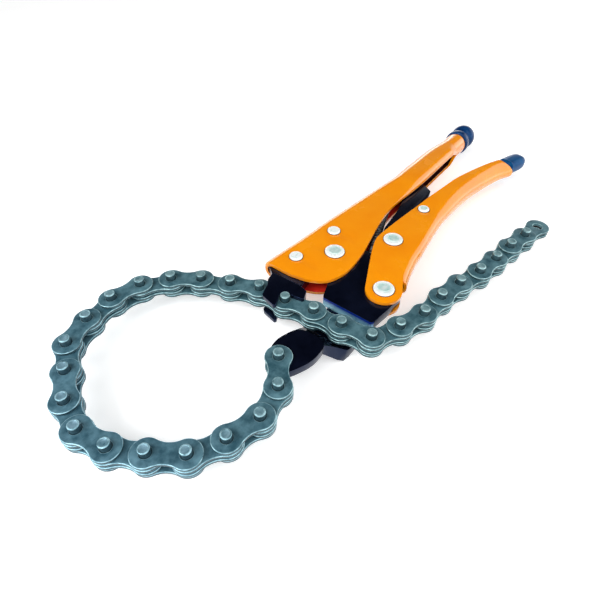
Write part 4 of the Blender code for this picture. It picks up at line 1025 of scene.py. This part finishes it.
def make_grip():
    """Dipped sleeve on the lever's tail, with rounded square sections."""
    along = (LEVER_TAIL - LEVER_KNEE).normalized()
    across = Vector((-along.y, along.x))
    start = LEVER_TAIL - along * (GRIP_LENGTH - GRIP_START)
    sections = []
    for share, width, height in eased(GRIP_STATIONS, 6):
        centre = start + along * (GRIP_REACH * share)
        ring = []
        for step in range(GRIP_SIDES):
            angle = 2 * math.pi * step / GRIP_SIDES
            wide, tall = (math.copysign(abs(value) ** GRIP_SQUARE, value)
                          for value in (math.cos(angle), math.sin(angle)))
            spot = centre + across * (GRIP_WIDE * width * wide)
            ring.append(Vector((spot.x, spot.y, GRIP_TALL * height * tall)))
        sections.append(ring)
    room = LEVER_BAR / 2 + GAP
    front = start - along * 2.0
    back = LEVER_TAIL + along * GAP
    outline = [front - across * room, back - across * room,
               back + across * room, front + across * room]
    bore = plate(outline, -GRIP_BORE_HALF, GRIP_BORE_HALF)
    made = shaped("fine_lever_grip", loft(sections), [("DIFFERENCE", bore)], bevel=0.4,
                  materials=(GRIP_BLUE, BLUE), sharp=50.0)
    wear(made, "lever", "lever_grip", slot="blue_dip")


# Bright parts

def make_rivet(node, body, centre, shank, head, dished):
    """Rivet with a low head at each end. A thin dark ring round the head is a painted shadow of its
    gap.
    """
    seat = HANDLE_OUT + GAP
    top = seat + HEAD_HEIGHT
    rise = [(shank, seat), (head + HEAD_RING, seat), (head + HEAD_RING, seat + HEAD_RING_HEIGHT)]
    rise += [(head * share, seat + height) for share, height in HEAD_PROFILE]
    rise += [(head * share, top - depth) for share, depth in (HEAD_DISH if dished else HEAD_FLAT)]
    rivet = turned([(r, -z) for r, z in reversed(rise)] + rise, centre)
    for face in rivet.faces:
        spot = face.calc_center_median()
        reach = (spot.xy - centre).length
        # The dish takes the darker painted shade.
        if dished and reach < head * DISH_SHARE and abs(spot.z) > seat:
            face.material_index = 1
        # Faces beyond the head's edge form the ring of painted shadow.
        elif reach > head + 0.02:
            face.material_index = 2
    made = shaped("fine_" + node, rivet, bevel=0.0, materials=(ZINC, ZINC_DISH_SHADE, GAP_SHADE))
    wear(made, body, node, slot="bright_zinc")


def along_x(bm):
    """A turned solid laid on the tube's axis."""
    quarter = Matrix.Rotation(math.pi / 2, 3, "Y")
    bmesh.ops.rotate(bm, verts=bm.verts, cent=(0.0, 0.0, 0.0), matrix=quarter)
    bmesh.ops.translate(bm, verts=bm.verts, vec=(0.0, TUBE_AXIS, 0.0))
    return bm


def make_screw():
    """Screw with its thread as rings and a thinner stub inside the knob."""
    stub_end = SHOULDER + KNOB_LENGTH * STUB_SHARE
    profile = list(SCREW_TIP)
    x = THREAD_FROM
    while x < THREAD_TO:
        profile += [(radius, x + step) for radius, step in THREAD]
        x += THREAD_PITCH
    profile += [(CREST, x), (CREST, SHOULDER), (STUB, SHOULDER), (STUB, stub_end), (0.0, stub_end)]
    made = shaped("fine_adjusting_screw", along_x(turned(profile)), bevel=0.0, materials=(ZINC,))
    wear(made, "screw", "adjusting_screw", slot="bright_zinc")
    rows = [(0.0, stub_end + GAP), (KNOB_BORE, stub_end + GAP)]
    rows += [(radius, SHOULDER + GAP + step) for radius, step in KNOB_PROFILE]
    made = shaped("fine_knob", along_x(turned(rows)), bevel=0.0, materials=(BLUE,))
    wear(made, "screw_knob", "knob", slot="blue_dip")


def make_spring():
    """Coil with a hook at each end, from the jaw's post to the upper handle, as one swept wire."""
    start = Vector((*SPRING_POST, 0.0))
    end = Vector((*SPRING_ANCHOR, 0.0))
    along = (end - start).normalized()
    across = Vector((-along.y, along.x, 0.0))
    up = Vector((0.0, 0.0, 1.0))
    first = start + along * HOOK_REACH
    last = end - along * HOOK_REACH
    points = []
    for step in range(HOOK_STEPS):
        angle = math.radians(HOOK_FROM[0] - HOOK_SWEEP * step / HOOK_STEPS)
        points.append(start + (along * math.cos(angle) + across * math.sin(angle)) * HOOK)
    total = COIL_TURNS * COIL_STEPS
    for step in range(total + 1):
        angle = 2 * math.pi * step / COIL_STEPS
        centre = first.lerp(last, step / total)
        points.append(centre + (across * math.cos(angle) + up * math.sin(angle)) * COIL)
    for step in range(HOOK_STEPS):
        angle = math.radians(HOOK_FROM[1] - HOOK_SWEEP * (step + 1) / HOOK_STEPS)
        points.append(end + (along * math.cos(angle) + across * math.sin(angle)) * HOOK)
    sections = []
    side = up.copy()
    for index, point in enumerate(points):
        before = points[max(index - 1, 0)]
        after = points[min(index + 1, len(points) - 1)]
        way = (after - before).normalized()
        side = (side - way * side.dot(way)).normalized()
        other = way.cross(side)
        sections.append([point + (side * math.cos(angle) + other * math.sin(angle)) * WIRE
                         for angle in (2 * math.pi * k / WIRE_SIDES for k in range(WIRE_SIDES))])
    made = shaped("fine_return_spring", loft(sections), bevel=0.0, materials=(SPRING,))
    wear(made, "upper_assembly", "return_spring", slot="spring_steel")
    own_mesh(made)


make_chain()
make_upper()
make_lower()
make_fixed_jaw()
make_movable_jaw()
make_nose()
make_toggle()
make_lever()
make_grip()
for rivet_row in RIVETS:
    make_rivet(*rivet_row)
make_screw()
make_spring()


# Camera, floor and light

def make_camera():
    ahead = Vector((0.0, math.cos(CAMERA_TILT), -math.sin(CAMERA_TILT)))
    right = Vector((1.0, 0.0, 0.0))
    up = right.cross(ahead)
    side = math.cos(CAMERA_ROLL) * right + math.sin(CAMERA_ROLL) * up
    top = -math.sin(CAMERA_ROLL) * right + math.cos(CAMERA_ROLL) * up
    turn = CAMERA_TURN
    camera = bpy.data.objects.new("camera", bpy.data.cameras.new("camera"))
    bpy.context.scene.collection.objects.link(camera)
    pose = Matrix((turn @ side, turn @ top, -(turn @ ahead))).transposed().to_4x4()
    pose.translation = turn @ CAMERA_PLACE * MM + TOOL
    camera.matrix_world = pose
    camera.data.sensor_width = 36.0
    camera.data.lens = CAMERA_LENS
    camera.data.clip_start = 0.01
    bpy.context.scene.camera = camera


def make_floor():
    """White paper that also glows a little where it is seen, directly or in a reflection."""
    bm = bmesh.new()
    bmesh.ops.create_grid(bm, x_segments=8, y_segments=8, size=FLOOR_HALF)
    floor = to_object("floor", bm, scale=1.0)
    made = bpy.data.materials.new("studio_floor")
    made.use_nodes = True
    tree = made.node_tree
    link = tree.links.new
    tree.nodes.clear()
    out = add_node(tree, "OutputMaterial")
    paper = add_node(tree, "BsdfDiffuse", {"Color": FLOOR_COLOUR})
    glow = add_node(tree, "Emission")
    path = add_node(tree, "LightPath")
    seen = path.outputs["Is Camera Ray"]
    for ray in ("Is Glossy Ray", "Is Transmission Ray"):
        either = add_node(tree, "Math", operation="MAXIMUM")
        link(seen, either.inputs[0])
        link(path.outputs[ray], either.inputs[1])
        seen = either.outputs[0]
    level = add_node(tree, "Math", operation="MULTIPLY")
    level.inputs[1].default_value = FLOOR_GLOW
    total = add_node(tree, "AddShader")
    link(seen, level.inputs[0])
    link(level.outputs[0], glow.inputs["Strength"])
    link(paper.outputs[0], total.inputs[0])
    link(glow.outputs[0], total.inputs[1])
    link(total.outputs[0], out.inputs["Surface"])
    floor.data.materials.append(made)


def lamp(name, place, size, power):
    data = bpy.data.lights.new(name, "AREA")
    data.shape = "RECTANGLE"
    data.size, data.size_y = size
    data.energy = power
    made = bpy.data.objects.new(name, data)
    bpy.context.scene.collection.objects.link(made)
    made.location = place
    made.rotation_euler = (LAMP_AIM - Vector(place)).to_track_quat("-Z", "Y").to_euler()


def make_light():
    """Four lamps, and a world that is bright near the horizon and dark above."""
    for row in LAMPS:
        lamp(*row)
    world = bpy.data.worlds.new("studio")
    bpy.context.scene.world = world
    world.use_nodes = True
    tree = world.node_tree
    sky = tree.nodes["Background"]
    sky.inputs["Color"].default_value = (*WHITE, 1.0)
    place = add_node(tree, "TexCoord")
    split = add_node(tree, "SeparateXYZ")
    tree.links.new(place.outputs["Generated"], split.inputs["Vector"])
    height = add_node(tree, "MapRange", SKY, interpolation_type="SMOOTHSTEP")
    tree.links.new(split.outputs["Z"], height.inputs["Value"])
    tree.links.new(height.outputs["Result"], sky.inputs["Strength"])


make_camera()
make_floor()
make_light()
bpy.context.scene.view_settings.view_transform = "Standard"
